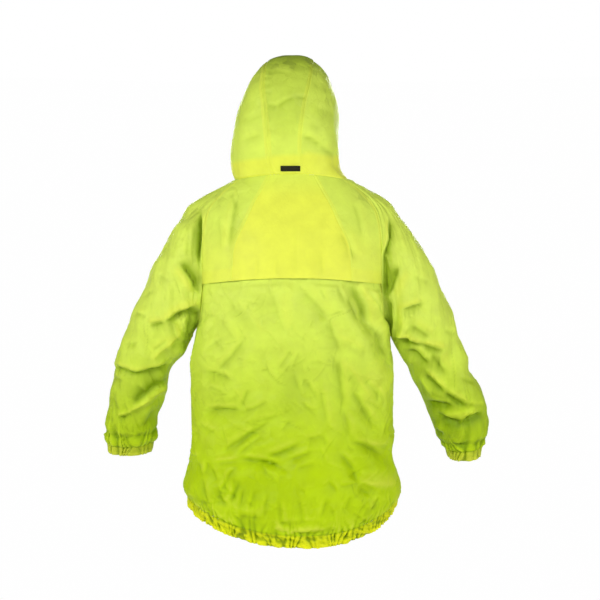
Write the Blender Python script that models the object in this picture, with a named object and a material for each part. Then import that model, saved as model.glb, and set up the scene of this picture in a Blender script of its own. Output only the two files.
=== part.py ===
"""Rain jacket of one thin cloth, filled out with no wearer: hood up, sleeves hanging a little way out.

Metres, +Z up. The wearer faces -Y and the wearer's left is +X. The origin is the middle of the neck,
level with the tops of the shoulders. The tables are in millimetres, which MM turns into metres.

Every cloth panel is a grid of points: its columns run left to right and its rows upwards as seen from
outside. Panels that are sewn together share the points and normals of their seam, so their walls meet
in a mitre, and each is then drawn back from the seam by half of SEAM_GAP. A sleeve's rows run down.
"""
import math

import bmesh
import bpy
import numpy as np

MM = 0.001
CLOTH = 1.5 * MM                # thickness of every cloth wall
SEAM_GAP = 0.3 * MM             # between two pieces at a seam
SQUARENESS = 2.3                # exponent of the superellipse that rounds the trunk and the hood
ZIP_EDGE = 5.0                  # distance of each front edge from the middle of the zip, mm
MERGE = 0.01 * MM               # points of two panels in one cell of this size are one point of a seam
MERGE_OFFSET = 0.317            # keeps round sizes away from the cells' borders

# Back of the trunk, hem to neck. side_*: the seam on the wearer's left; centre_*: the middle of the back;
# arc: how far round its superellipse the section runs from the middle to the seam, degrees.
# columns: side_x, side_y, side_z, centre_y, centre_z, arc
BACK_ROWS = (
    (229, 0, -684, 158, -751, 90),
    (239, 0, -662, 166, -720, 90),
    (231, 0, -634, 168, -682, 90),
    (221, 0, -600, 163, -634, 90),
    (220, 0, -558, 157, -577, 90),
    (221, 0, -500, 152, -510, 90),
    (222, 0, -440, 149, -440, 90),
    (221, 0, -385, 149, -380, 90),
    (212, 0, -345, 150, -330, 90),
    (208, 0, -315, 151, -295, 90),      # under the arm
    (199, 42, -285, 152, -268, 77),
    (194, 60, -245, 152, -232, 70),
    (193, 71, -195, 149, -186, 65),
    (192, 75, -145, 141, -136, 62),
    (190, 71, -98, 127, -90, 60),
    (178, 60, -55, 112, -48, 62),
    (146, 54, -18, 98, -14, 62),
    (112, 50, 8, 86, 15, 62),           # neck
)
# The same columns for the fronts.
FRONT_ROWS = (
    (229, 0, -684, -150, -656, 90),
    (239, 0, -662, -156, -632, 90),
    (231, 0, -634, -160, -602, 90),
    (221, 0, -600, -160, -566, 90),
    (220, 0, -558, -160, -524, 90),
    (221, 0, -500, -160, -470, 90),
    (222, 0, -440, -159, -416, 90),
    (221, 0, -385, -157, -366, 90),
    (212, 0, -345, -156, -330, 90),
    (208, 0, -315, -155, -298, 90),
    (199, -44, -285, -154, -268, 77),
    (193, -66, -245, -152, -236, 70),
    (187, -78, -195, -147, -203, 64),
    (178, -86, -145, -139, -170, 58),
    (163, -92, -100, -129, -140, 54),
    (135, -90, -62, -119, -114, 50),
    (104, -80, -36, -113, -97, 48),
    (86, -70, -24, -110, -84, 48),
)
ARMPIT_ROW = 9
TAIL_TILT = 0.045               # how much lower the drop tail hangs towards the wearer's right
TAIL_ROWS = 3
TRUNK_AT = (0, 0.6, 1.4, 2.2, 3, 3.5, 4, 4.5, 5, 5.5, 6, 6.5, 7, 7.7, 8.4, ARMPIT_ROW)
FLAP_ROW = 11.5                 # the free lower edge of the yoke
NECK_ROW = 17
TUCK_ROW = 12.1                 # how far the back panel runs up under the yoke
YOKE_STEPS = 7                  # cells from the flap's edge to the neck
BACK_COLUMNS = 28
FRONT_COLUMNS = 9
YOKE_SIDE_COLUMNS = 5
YOKE_CENTRE_COLUMNS = 10
# Share of the section's half, from the middle to the centre panel's seam, at rows 11 to 17.
YOKE_SEAM = (0.508, 0.513, 0.505, 0.405, 0.335, 0.305, 0.30)
FLAP_LIFT = 2.5                 # how far the yoke's edge stands off, mm
TUCK_DEPTH = 2.3                # how far the back panel runs inside it, mm

# Where the raglan sleeve meets the neck, from the back panel to the front. columns: x, y, z
SHOULDER_NECK = (
    (112, 50, 8),
    (121, 22, 9),
    (120, -10, 5),
    (106, -42, -9),
    (86, -70, -24),
)
# Rings of each sleeve below its seam. outer_*, inner_*: the ring's ends away from and next to the trunk.
# columns: outer_x, outer_z, inner_x, inner_z, centre_y, half_depth
SLEEVE_RINGS = {
    "left": (
        (200, -31, 214, -323, -4, 81),
        (245, -73, 218, -331, -3, 84),
        (272, -122, 221, -338, -3, 82),
        (304, -177, 224, -346, -5, 78),
        (327, -235, 231, -357, -9, 74),
        (354, -287, 239, -372, -14, 70),
        (373, -338, 257, -389, -20, 66),
        (388, -387, 271, -411, -28, 64),
        (400, -427, 278, -442, -40, 61),
        (405, -471, 287, -477, -54, 58),
        (414, -513, 302, -511, -70, 54),
        (419, -552, 304, -548, -82, 48),
        (417, -574, 313, -570, -90, 40),
    ),
    "right": (
        (200, -30, 214, -323, -4, 81),
        (244, -79, 217, -332, -3, 84),
        (279, -132, 221, -342, -3, 82),
        (308, -185, 226, -352, -5, 78),
        (332, -240, 235, -366, -9, 74),
        (356, -290, 247, -386, -14, 70),
        (369, -335, 258, -403, -20, 66),
        (388, -381, 270, -433, -28, 64),
        (406, -427, 291, -470, -40, 61),
        (425, -465, 304, -502, -54, 58),
        (438, -515, 319, -538, -70, 54),
        (440, -552, 329, -567, -82, 48),
        (428, -580, 346, -586, -90, 40),
    ),
}
# The lower edge of each cuff, in the same columns.
CUFF_ENDS = {
    "left": (414, -597, 319, -595, -96, 33),
    "right": (424, -605, 354, -609, -96, 38),
}
SLEEVE_AT = (0, 0.5, 1, 1.5, 2, 3, 4, 5, 5.5, 6, 6.5, 7, 8, 9, 10, 11, 12, 13)
# Where each column of a sleeve lies round its rings, from the shoulder line to under the arm, degrees.
TURN_AT_SEAM = (0, 13, 26, 31, 38, 49, 63, 78, 91, 104, 117, 138, 180)
TURN_EVENS_OUT = 5              # the ring from which the columns are evenly spaced
CUFF_GATHERS = 14
CUFF_GATHER_DEPTH = 2.2
COLUMNS_A_GATHER = 4

# Loops of the hood from the neck up over the head to the face. back_*, front_*: the loop's ends;
# shift_x: how far it leans to the wearer's left; lift: how much higher its sides run than its plane;
# seam_x: half the width of the centre panel.
# columns: back_y, back_z, front_y, front_z, half_width, shift_x, lift, seam_x
HOOD_LOOPS = (
    (97, 40, -110, -78, 119, 13, 46, 35),
    (109, 72, -111, -71, 119, 16, 46, 35),
    (118, 106, -112, -65, 118, 16, 42, 37),
    (123, 140, -113, -58, 115.5, 16, 36, 41),
    (122, 174, -113.5, -52, 113.5, 15, 30, 45),
    (114, 207, -114, -45, 112.5, 13, 23, 50),
    (97, 237, -114.5, -39, 111.5, 10, 16, 52),
    (72, 259, -115, -32, 109, 7, 10, 52),
    (40, 273, -115, -26, 107, 4, 5, 51),
    (5, 282, -115.5, -19, 104, 2, 2, 50),
    (-32, 277, -116, -13, 100, 2, 0, 48),
    (-66, 268, -117, -6, 95, 3, 0, 46),
    (-98, 251, -118, 0, 90, 3, 0, 44),      # sewn to the hem round the face
    (-116, 237, -119, 9, 84, 3, 0, 42),     # the hem's free edge
)
LIFT_FORWARD = 0.8              # how much more the lift raises the front than the back
NECK_HOLD = (0.6, 0.25)         # how much of the neck's own shape the first loops keep at the front
HOLD_FROM = 80                  # from here round to the front, degrees
NECK_RISE = (7.0, 15.0)         # how far they rise above it at least, mm
HOOD_PANEL_LOOPS = 13
HOOD_SEAM_COLUMNS = 4           # columns from the middle of the back to the centre panel's seam
# Where the end columns of the yoke and of the fronts lie round the loops, degrees from the middle back.
YOKE_END_TURN = (58, 78)        # at the first loop, and from HOOD_EVENS_OUT up
FRONT_END_TURN = (124, 118)
HOOD_EVENS_OUT = 5

# Hem band, gathered on its elastic.
BAND_HEIGHT = 26.0
BAND_INWARD = 6.0
BAND_GATHERS = 46
BAND_GATHER_DEPTH = 3.5
BAND_FLAT_NEAR_ZIP = 45.0       # the gathers fade out this far from the zip

# Inner stand collar, open at the zip.
COLLAR_HEIGHTS = (3.0, 32.0, 60.0)      # its rows, up the hood from the neck
COLLAR_IN = 6.0                 # how far it stands inside the hood
NECK_MIDDLE = (0.0, -10.0)
COLLAR_THICKNESS = 1.2 * MM

# Webbing tab across the hood's base.
TAB_CENTRE_X = 3.0
TAB_CENTRE_Z = 27.0
TAB_WIDTH = 42.0
TAB_HEIGHT = 11.0
TAB_THICKNESS = 1.8
TAB_STANDOFF = 0.7              # between the tab and the hood's wall

# Folds of the trunk: each a trough along a line, with a lower ridge on either side of it.
# columns: x0, z0, x1, z1, depth, width
BACK_FOLDS = (
    (-126, -219, -162, -299, 14, 20),
    (-162, -299, -212, -383, 11, 19),
    (-17, -228, -76, -293, 7, 20),
    (-76, -293, -101, -358, 8, 19),
    (-93, -379, -112, -480, 8, 19),
    (-112, -480, -116, -539, 7, 18),
    (196, -409, 131, -421, 8, 19),
    (166, -405, 105, -333, 7, 18),
    (192, -493, 110, -487, 10, 19),
    (110, -480, 91, -445, 6, 17),
    (141, -575, 34, -504, 8, 19),
    (101, -592, 19, -603, 10, 18),
    (51, -584, -15, -560, 6, 17),
    (-126, -554, -200, -584, 10, 19),
    (-131, -449, -177, -518, 9, 19),
    (-110, -575, -137, -611, 8, 17),
    (-141, -611, -150, -650, 6, 17),
    (150, -630, 110, -680, 7, 18),
    (60, -640, 66, -700, 6, 18),
    (-40, -630, -30, -700, 6, 18),
)
RIDGE_COLUMNS = 5               # columns from a panel's side edge to its first full ridge
FRONT_FOLDS = (
    (150, -300, 60, -380, 9, 20),
    (-148, -310, -70, -400, 10, 20),
    (190, -420, 80, -455, 9, 20),
    (-195, -400, -100, -440, 8, 19),
    (170, -520, 60, -590, 8, 20),
    (-180, -505, -60, -560, 9, 20),
    (120, -190, 60, -250, 6, 19),
    (-110, -200, -55, -270, 7, 19),
    (-130, -600, -110, -650, 6, 18),
    (120, -590, 135, -645, 6, 18),
)
# Folds of a sleeve, across it. at: the ring; turn: its middle, degrees round from the outer side, the
# back being above 0; tilt: rings that it climbs over 90 degrees; spread: half its length in degrees.
# columns: at, turn, tilt, spread, depth, width
SLEEVE_FOLDS = {
    "left": (
        (3.6, 120, 1.2, 60, 10, 0.6),
        (5.0, 150, -0.8, 75, 8, 0.45),
        (6.55, 80, 0.3, 110, 10, 0.45),
        (7.6, 130, -1.4, 70, 8, 0.5),
        (8.9, 20, 0.5, 80, 7, 0.5),
        (10.6, 100, 0.4, 100, 6, 0.55),
        (5.7, -110, 0.6, 80, 8, 0.5),
        (7.4, -80, -0.5, 90, 7, 0.5),
        (9.6, -120, 0.5, 80, 6, 0.55),
    ),
    "right": (
        (2.4, 130, 1.2, 55, 11, 0.6),
        (4.5, 140, -0.9, 60, 9, 0.45),
        (5.9, 100, -0.5, 90, 11, 0.45),
        (7.3, 60, 1.1, 90, 8, 0.45),
        (8.6, 10, -0.4, 90, 8, 0.5),
        (10.3, 90, -0.5, 100, 7, 0.55),
        (5.6, -110, -0.6, 80, 8, 0.5),
        (7.7, -70, 0.5, 90, 7, 0.5),
        (9.7, -130, -0.5, 80, 6, 0.55),
    ),
}

# Zip, closed up to the chin. "out" is measured along the cloth's outward normal from its middle.
TAPE_EDGE = 14.0                # outer edge of each tape from the middle of the zip
TAPE_OUT = -2.0
TAPE_THICKNESS = 1.0 * MM
CHAIN_WIDTH = 5.0
CHAIN_OUT = (-1.7, 0.7)
TAPE_TO_CHAIN = 0.4
SLIDER_WIDTH = 9.0
SLIDER_LENGTH = 12.0
SLIDER_BELOW_END = 4.0          # its top below the end of the hood's panels
SLIDER_OUT = (-4.0, 2.2)        # its back and front faces
SLOT_OUT = (-2.9, 1.1)          # the slot that the teeth and tapes run through
SLIDER_POST = 2.6               # the slot's closed end
BAIL_WIDTH = 2.2
BAIL_LENGTH = 9.0
BAIL_OUT = 8.3
BAIL_HOLE_LENGTH = 6.6
BAIL_HOLE_OUT = (2.6, 7.3)
PULL_OUT = 5.3                  # the pull's axis
PULL_THICKNESS = 1.6
PULL_LENGTH = 30.0
PULL_HALF_WIDTH = 3.6
PULL_TAB_HALF_WIDTH = 2.9
PULL_HOLE = (-6.2, -0.9)        # lower and upper end of its hole, from the axis
PULL_HOLE_HALF_WIDTH = 1.7
BOX_SIZE = (8.0, 3.4, 10.0)

CLOTH_COLOUR = (0.55, 0.80, 0.03)
BRIGHT_COLOUR = (0.78, 0.92, 0.06)
BAND_COLOUR = (0.42, 0.62, 0.02)
TRIM_COLOUR = (0.012, 0.012, 0.011)
METAL_COLOUR = (0.03, 0.03, 0.03)
METAL_ROUGHNESS = 0.35
METAL_METALLIC = 0.8


def power(value):
    """The value raised so that a cosine and a sine draw a superellipse, its sign kept."""
    return np.sign(value) * np.abs(value) ** (2 / SQUARENESS)


def along(rows, at):
    """The table's rows at fractional row numbers, on a smooth curve through them (Catmull-Rom)."""
    rows = np.asarray(rows, float)
    last = len(rows) - 1
    at = np.clip(np.asarray(at, float), 0, last)
    lower = np.minimum(at.astype(int), last - 1)
    t = (at - lower).reshape(at.shape + (1,) * (rows.ndim - 1))
    before, start, end, after = (rows[np.clip(lower + step, 0, last)] for step in (-1, 0, 1, 2))
    return 0.5 * (2 * start + (end - before) * t + (2 * before - 5 * start + 4 * end - after) * t ** 2
                  + (3 * start - before - 3 * end + after) * t ** 3)


def smooth(value):
    """0 below 0, 1 above 1 and an even slope between."""
    value = np.clip(value, 0, 1)
    return value * value * (3 - 2 * value)


def points_of(x, y, z):
    """Three arrays of millimetres as one array of points in metres."""
    return np.stack(np.broadcast_arrays(x, y, z), axis=-1) * MM


def half_section(rows, at, share):
    """The trunk at the table's row 'at', 'share' of the way from the middle (0) to the left seam (1)
    or the right one (-1), along a superellipse's arc between the middle and the seam. Below the arm the
    seam runs straight down the side."""
    side_x, side_y, side_z, centre_y, centre_z, arc = np.moveaxis(along(rows, at), -1, 0)
    side_y = np.where(at <= ARMPIT_ROW, 0, side_y)
    arc = np.radians(np.minimum(arc, 90))
    turn = share * arc
    rise = (power(np.cos(turn)) - power(np.cos(arc))) / (1 - power(np.cos(arc)))
    x = side_x * power(np.sin(turn)) / power(np.sin(arc))
    return points_of(x, side_y + (centre_y - side_y) * rise, side_z + (centre_z - side_z) * rise ** 2)


def unit(vectors):
    """The vectors at length 1."""
    return vectors / np.linalg.norm(vectors, axis=-1, keepdims=True)


def grid_normals(grids):
    """Unit normals of every grid's points. Points that two grids share get one normal, the mean of all
    their cells' corners there, each counted by its angle, so a seam's normal halves its bend."""
    flat = np.concatenate([grid.reshape(-1, 3) for grid in grids])
    cells = np.floor(flat / MERGE + MERGE_OFFSET).astype(np.int64)
    keys = np.unique(cells, axis=0, return_inverse=True)[1].ravel()
    sums = np.zeros((keys.max() + 1, 3))
    first = 0
    for grid in grids:
        rows, columns = grid.shape[:2]
        numbers = keys[first:first + rows * columns].reshape(rows, columns)
        first += rows * columns
        low, high, left, right = np.s_[:-1], np.s_[1:], np.s_[:-1], np.s_[1:]
        ring = ((low, left), (low, right), (high, right), (high, left))
        for corner in range(4):
            here, ahead, behind = ring[corner], ring[(corner + 1) % 4], ring[corner - 1]
            out_ahead, out_behind = unit(grid[ahead] - grid[here]), unit(grid[behind] - grid[here])
            angle = np.arccos(np.clip((out_ahead * out_behind).sum(-1, keepdims=True), -1, 1))
            facing = unit(np.cross(out_ahead, out_behind))
            np.add.at(sums, numbers[here].ravel(), (facing * angle).reshape(-1, 3))
    normals = unit(sums)[keys]
    ends = np.cumsum([grid.size // 3 for grid in grids])[:-1]
    return [part.reshape(grid.shape) for grid, part in zip(grids, np.split(normals, ends))]


def trough(x, z, folds):
    """How far the folds of the table draw the cloth in at x, z: each is a soft trough round a line."""
    depth = np.zeros(np.broadcast(x, z).shape)
    for x0, z0, x1, z1, fold_depth, width in folds:
        length = math.hypot(x1 - x0, z1 - z0)
        on_x, on_z = (x1 - x0) / length, (z1 - z0) / length
        beyond = np.abs((x - x0) * on_x + (z - z0) * on_z - length / 2) - length / 2
        beside = (x - x0) * on_z - (z - z0) * on_x
        distance = np.hypot(np.maximum(beyond, 0), beside)
        depth += fold_depth * (np.exp(-(distance / width) ** 2)
                               - 0.45 * np.exp(-((distance - 1.9 * width) / width) ** 2))
    return depth


def fold_panel(grid, folds, edge_rows, edge_columns, tucked_rows=0):
    """The grid drawn in along its normals by the folds, which fade out towards its edges. The ridges
    beside them fade sooner at the side edges, and leave out the top rows that lie tucked in a panel."""
    rows, columns = grid.shape[:2]
    row = np.arange(rows)[:, None]
    column = np.arange(columns)[None, :]
    from_side = np.minimum(column, columns - 1 - column)
    fade = smooth(np.minimum(row, rows - 1 - row) / edge_rows) * smooth(from_side / edge_columns)
    ridge_fade = smooth((rows - 1 - row - tucked_rows) / edge_rows) * smooth(from_side / RIDGE_COLUMNS)
    depth = trough(grid[..., 0] / MM, grid[..., 2] / MM, folds) * fade * MM
    depth = np.where(depth < 0, depth * ridge_fade, depth)
    return grid - grid_normals([grid])[0] * depth[..., None]


def seam_rows():
    """Row numbers of the raglan seams' points, from under the arm to the neck."""
    below = (ARMPIT_ROW, ARMPIT_ROW + 1, ARMPIT_ROW + 2)
    return np.concatenate([below, np.linspace(FLAP_ROW, NECK_ROW, YOKE_STEPS + 1)])


def back_grid():
    """The back panel, which runs up under the yoke's free edge."""
    at = np.concatenate([TRUNK_AT, [ARMPIT_ROW + 1, ARMPIT_ROW + 2, FLAP_ROW, TUCK_ROW]])
    share = np.linspace(1, -1, BACK_COLUMNS + 1)
    grid = half_section(BACK_ROWS, at[:, None], share[None, :])
    tail = smooth((TAIL_ROWS - at[:, None]) / TAIL_ROWS) * (1 - share ** 2)
    grid[..., 2] += TAIL_TILT * grid[..., 0] * tail
    tuck = smooth((at - ARMPIT_ROW - 2) / (FLAP_ROW - ARMPIT_ROW - 2))[:, None] * TUCK_DEPTH * MM
    grid = fold_panel(grid, BACK_FOLDS, 2.0, 1.5, tucked_rows=1)
    return grid - grid_normals([grid])[0] * tuck[..., None]


def yoke_shares(at):
    """Where the yoke's columns lie at each row: sides, centre panel and sides again."""
    seam = along(YOKE_SEAM, at - NECK_ROW + len(YOKE_SEAM) - 1)
    side = np.linspace(1, 0, YOKE_SIDE_COLUMNS + 1)
    left = seam[:, None] + (1 - seam[:, None]) * side
    centre = seam[:, None] * np.linspace(1, -1, YOKE_CENTRE_COLUMNS + 1)
    return np.concatenate([left, centre[:, 1:-1], -left[:, ::-1]], axis=1)


def yoke_grid():
    """The whole yoke, its free lower edge standing a little off the back."""
    at = seam_rows()[3:]
    share = yoke_shares(at)
    grid = half_section(BACK_ROWS, at[:, None], share)
    lift = smooth((FLAP_ROW + 1.6 - at[:, None]) / 1.6) * smooth((1 - np.abs(share)) / 0.35)
    return grid + grid_normals([grid])[0] * (lift * FLAP_LIFT * MM)[..., None]


def front_grid(side):
    """One front, from its seams to its edge beside the zip; side is 1 on the wearer's left."""
    at = np.concatenate([TRUNK_AT, seam_rows()[1:]])
    side_x, arc = along(FRONT_ROWS, at)[:, 0], np.radians(along(FRONT_ROWS, at)[:, 5])
    edge = np.arcsin((ZIP_EDGE / side_x) ** (SQUARENESS / 2) * np.sin(arc)) / arc
    steps = np.linspace(0, 1, FRONT_COLUMNS + 1)
    share = edge[:, None] + (1 - edge[:, None]) * steps
    grid = half_section(FRONT_ROWS, at[:, None], share * side)
    if side < 0:
        grid = grid[:, ::-1]
    return fold_panel(grid, FRONT_FOLDS, 2.0, 3.0)


def mirrored(grid, side):
    """A grid made for the wearer's left, as it is for side 1, or turned over to the right for -1."""
    return grid[:, ::side] * (side, 1, 1)


def sleeve_loop():
    """The left raglan seam and the neck, once round from under the arm up the back, over the shoulder
    and down the front: the sleeve's first ring."""
    at = seam_rows()
    back = half_section(BACK_ROWS, at, 1.0)
    front = half_section(FRONT_ROWS, at, 1.0)
    neck = np.array(SHOULDER_NECK, float) * MM
    return np.concatenate([back, neck[1:-1], front[::-1]])


def sleeve_ring(table, at, turn):
    """A ring of the sleeve: an ellipse between its outer and inner ends, square to the sleeve."""
    columns = along(table, at)
    step = along(table, at + 0.05) - along(table, at - 0.05)
    outer = np.array([columns[0], columns[4], columns[1]])
    inner = np.array([columns[2], columns[4], columns[3]])
    run = np.array([step[0] + step[2], 2 * step[4], step[1] + step[3]])
    across = (outer - inner) / 2
    depth = np.cross(run, across)
    depth *= np.sign(depth[1]) * columns[5] / np.linalg.norm(depth)
    turn = np.radians(turn)[:, None]
    return ((outer + inner) / 2 + across * np.cos(turn) + depth * np.sin(turn)) * MM


def sleeve_turns(ring):
    """Degrees round the ring of each column, from under the arm over the back to under the arm."""
    even = np.linspace(0, 180, len(TURN_AT_SEAM))
    half = TURN_AT_SEAM + (even - TURN_AT_SEAM) * smooth((ring - 1) / (TURN_EVENS_OUT - 1))
    return np.concatenate([half[::-1], -half[1:]])


def sleeve_grid(name):
    """One sleeve, from its raglan seam down to the cuff, as if it were the left one."""
    table = SLEEVE_RINGS[name]
    stack = [sleeve_loop()]
    for ring in range(len(table)):
        stack.append(sleeve_ring(table, float(ring), sleeve_turns(ring + 1)))
    at = np.array(SLEEVE_AT, float)
    grid = along(np.array(stack), at)
    turns = np.array([sleeve_turns(ring) for ring in at])
    depth = np.zeros(grid.shape[:2])
    for fold_at, turn, tilt, spread, fold_depth, width in SLEEVE_FOLDS[name]:
        off = (turns - turn + 180) % 360 - 180
        reach = 0.5 + 0.5 * np.cos(np.pi * np.clip(off / spread, -1, 1))
        away = (at[:, None] - fold_at - tilt * off / 90) / width
        depth += fold_depth * reach * (np.exp(-away ** 2) - 0.5 * np.exp(-(np.abs(away) - 1.8) ** 2))
    fade = smooth((at - 0.7) / 1.5) * smooth((len(table) - at) / 0.8)
    grid -= grid_normals([grid])[0] * (depth * fade[:, None] * MM)[..., None]
    grid[:, -1] = grid[:, 0]
    return grid


def hood_loop(row, turn):
    """A loop of the hood: a superellipse whose sides rise above its plane, 'turn' degrees from the back."""
    back_y, back_z, front_y, front_z, half_width, shift_x, lift = row[:7]
    turn = np.radians(turn)
    ahead = power(np.cos(turn))
    lean = shift_x * (1 - ((1 - np.cos(turn)) / 2) ** 4)
    x = lean + half_width * power(np.sin(turn))
    y = (back_y + front_y) / 2 + (back_y - front_y) / 2 * ahead
    rise = lift * np.sin(turn) ** 2 * (1 - LIFT_FORWARD * np.cos(turn))
    z = (back_z + front_z) / 2 + (back_z - front_z) / 2 * ahead + rise
    return points_of(x, y, z)


def hood_turns(number, row):
    """Degrees from the middle back of the hood's columns, from the zip round the wearer's left."""
    half_width, seam_x = row[4], row[7]
    even = smooth((number - 1) / (HOOD_EVENS_OUT - 1))
    seam = math.degrees(math.asin((seam_x / half_width) ** (SQUARENESS / 2)))
    yoke_end = YOKE_END_TURN[0] + (YOKE_END_TURN[1] - YOKE_END_TURN[0]) * even
    front_end = FRONT_END_TURN[0] + (FRONT_END_TURN[1] - FRONT_END_TURN[0]) * even
    edge = 180 - math.degrees(math.asin((ZIP_EDGE / half_width) ** (SQUARENESS / 2)))
    yoke_columns = YOKE_SIDE_COLUMNS + YOKE_CENTRE_COLUMNS // 2 - HOOD_SEAM_COLUMNS
    half = np.concatenate([
        np.linspace(0, seam, HOOD_SEAM_COLUMNS + 1),
        np.linspace(seam, yoke_end, yoke_columns + 1)[1:],
        np.linspace(yoke_end, front_end, len(SHOULDER_NECK))[1:],
        np.linspace(front_end, edge, FRONT_COLUMNS + 1)[1:],
    ])
    return np.concatenate([half[::-1], -half[1:]])


def neck_loop(yoke, fronts):
    """The neck, once round from the zip over the wearer's left."""
    neck = np.array(SHOULDER_NECK, float) * MM
    left = fronts["left"][-1]
    right = fronts["right"][-1]
    return np.concatenate([left, neck[-2:0:-1], yoke[-1], neck[1:-1] * (-1, 1, 1), right])


def hood_grid(neck):
    """The hood and the hem round its face opening."""
    stack = [neck]
    for number, row in enumerate(HOOD_LOOPS, start=1):
        stack.append(hood_loop(row, hood_turns(number, row)))
    stack = np.array(stack)
    for number, (hold, rise) in enumerate(zip(NECK_HOLD, NECK_RISE), start=1):
        turns = np.abs(hood_turns(number, HOOD_LOOPS[number - 1]))
        raised = neck.copy()
        raised[:, 2] = np.maximum(stack[number, :, 2], neck[:, 2] + rise * MM)
        hold = hold * smooth((turns - HOLD_FROM) / (FRONT_END_TURN[0] - HOLD_FROM))
        stack[number] += (raised - stack[number]) * hold[:, None]
    stack[1:, 0, 0] = ZIP_EDGE * MM
    stack[1:, -1, 0] = -ZIP_EDGE * MM
    return stack


def collar_grid(hood):
    """The stand collar: every second column of the hood's base, moved in and open at the zip."""
    columns = []
    for column in range(1, hood.shape[1], 2):
        run = lengths_along(hood[:, column])
        at = np.interp(np.array(COLLAR_HEIGHTS) * MM, run, np.arange(len(run)))
        columns.append(between(hood[:, column], at))
    grid = np.stack(columns, axis=1)
    inward = np.array(NECK_MIDDLE) * MM - grid[..., :2]
    grid[..., :2] += unit(inward) * COLLAR_IN * MM
    return grid


def resample(points, count):
    """Fractional point numbers of count + 1 places spaced evenly by length along a polyline."""
    run = lengths_along(points)
    return np.interp(np.linspace(0, run[-1], count + 1), run, np.arange(len(points)))


def between(values, at):
    """Rows of an array at fractional numbers, on straight lines."""
    lower = np.minimum(np.asarray(at, int), len(values) - 2)
    part = (at - lower)[:, None]
    return values[lower] * (1 - part) + values[lower + 1] * part


def gathered_band(edge, edge_normals, hem, gathers, depth, fade, closed):
    """A band from the panels' edge (its last row) to the hem's free edge (its first row), with waves
    that grow from nothing at the panels. Returns its grid and normals."""
    wave = np.cos(np.linspace(0, 2 * np.pi * gathers, len(edge)))
    uneven = 1 + 0.3 * np.sin(np.linspace(0, 2 * np.pi * 5, len(edge)))
    grid = edge + (hem - edge) * np.array([1, 0.5, 0])[:, None, None]
    out = grid_normals([grid])[0]
    strength = np.array([0.75, 1, 0])[:, None]
    grid = grid + out * (wave * uneven * strength * depth * fade * MM)[..., None]
    if closed:
        grid[:, -1] = grid[:, 0]
    normals = grid_normals([grid])[0]
    normals[-1] = edge_normals
    return grid, normals


def hem_band(panels, normals):
    """The elastic band at the hem, from the zip round the wearer's left and back to it."""
    edge = np.concatenate([panels["front_left"][0], panels["back_panel"][0][1:],
                           panels["front_right"][0][1:]])
    edge_normals = np.concatenate([normals["front_left"][0], normals["back_panel"][0][1:],
                                   normals["front_right"][0][1:]])
    at = resample(edge, BAND_GATHERS * COLUMNS_A_GATHER)
    edge, edge_normals = between(edge, at), between(edge_normals, at)
    inward = -unit(edge[:, :2]) * BAND_INWARD * MM
    hem = edge + np.column_stack([inward, np.full(len(edge), -BAND_HEIGHT * MM)])
    for end in (0, -1):
        hem[end, 0] = edge[end, 0]
    fade = smooth((np.abs(edge[:, 0]) / MM - ZIP_EDGE) / BAND_FLAT_NEAR_ZIP + (edge[:, 1] > 0) * 9)
    return gathered_band(edge, edge_normals, hem, BAND_GATHERS, BAND_GATHER_DEPTH, fade, False)


def cuff(name, side, sleeve, sleeve_normals):
    """The elastic cuff at a sleeve's end, and its normals."""
    edge = mirrored(sleeve[-1:], side)[0]
    edge_normals = mirrored(sleeve_normals[-1:], side)[0]
    at = resample(edge, CUFF_GATHERS * COLUMNS_A_GATHER)
    turns = between(sleeve_turns(len(SLEEVE_RINGS[name]))[:, None], at)[:, 0]
    table = SLEEVE_RINGS[name][-2:] + (CUFF_ENDS[name],)
    hem = sleeve_ring(table, 2.0, turns)
    edge, edge_normals = between(edge, at), between(edge_normals, at)
    grid, normals = gathered_band(edge, -edge_normals, hem, CUFF_GATHERS, CUFF_GATHER_DEPTH, 1.0, True)
    return mirrored(grid, side), mirrored(-normals, side)


def drawn_back(grid, normals, closed):
    """The grid with its edges moved in by half the seam gap, square to the seam's mitre. Where an edge
    turns a corner, the move keeps the gap to both of its sides."""
    moved = grid.copy()
    edges = [(np.s_[0], np.s_[1]), (np.s_[-1], np.s_[-2])]
    if not closed:
        edges += [(np.s_[:, 0], np.s_[:, 1]), (np.s_[:, -1], np.s_[:, -2])]
    for edge, inside in edges:
        out = unit(normals[edge])
        steps = np.diff(grid[edge], axis=0)
        before = np.concatenate([steps[-1:] if closed else steps[:1], steps])
        after = np.concatenate([steps, steps[:1] if closed else steps[-1:]])
        square = []
        for seam in (before, after):
            seam = unit(seam - (seam * out).sum(-1, keepdims=True) * out)
            inward = grid[inside] - grid[edge]
            for direction in (out, seam):
                inward -= (inward * direction).sum(-1, keepdims=True) * direction
            square.append(unit(inward))
        share = 1 + (square[0] * square[1]).sum(-1, keepdims=True)
        moved[edge] += (square[0] + square[1]) / np.maximum(share, 0.3) * SEAM_GAP / 2
    return moved


def paint(item, colour, roughness, metallic=0.0):
    """Gives the object its own Principled material."""
    material = bpy.data.materials.new(item.name)
    material.use_nodes = True
    shader = material.node_tree.nodes["Principled BSDF"]
    shader.inputs["Base Color"].default_value = (*colour, 1)
    shader.inputs["Roughness"].default_value = roughness
    shader.inputs["Metallic"].default_value = metallic
    material.diffuse_color = (*colour, 1)
    item.data.materials.append(material)


def add_mesh(name, vertices, faces):
    """A mesh object in the jacket's collection, its faces turned outwards."""
    mesh = bpy.data.meshes.new(name)
    mesh.from_pydata(vertices, [], faces)
    body = bmesh.new()
    body.from_mesh(mesh)
    bmesh.ops.recalc_face_normals(body, faces=body.faces)
    body.to_mesh(mesh)
    body.free()
    mesh.shade_smooth()
    mesh.set_sharp_from_angle(angle=math.radians(50))
    item = bpy.data.objects.new(name, mesh)
    bpy.data.collections["rain_jacket"].objects.link(item)
    return item


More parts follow.
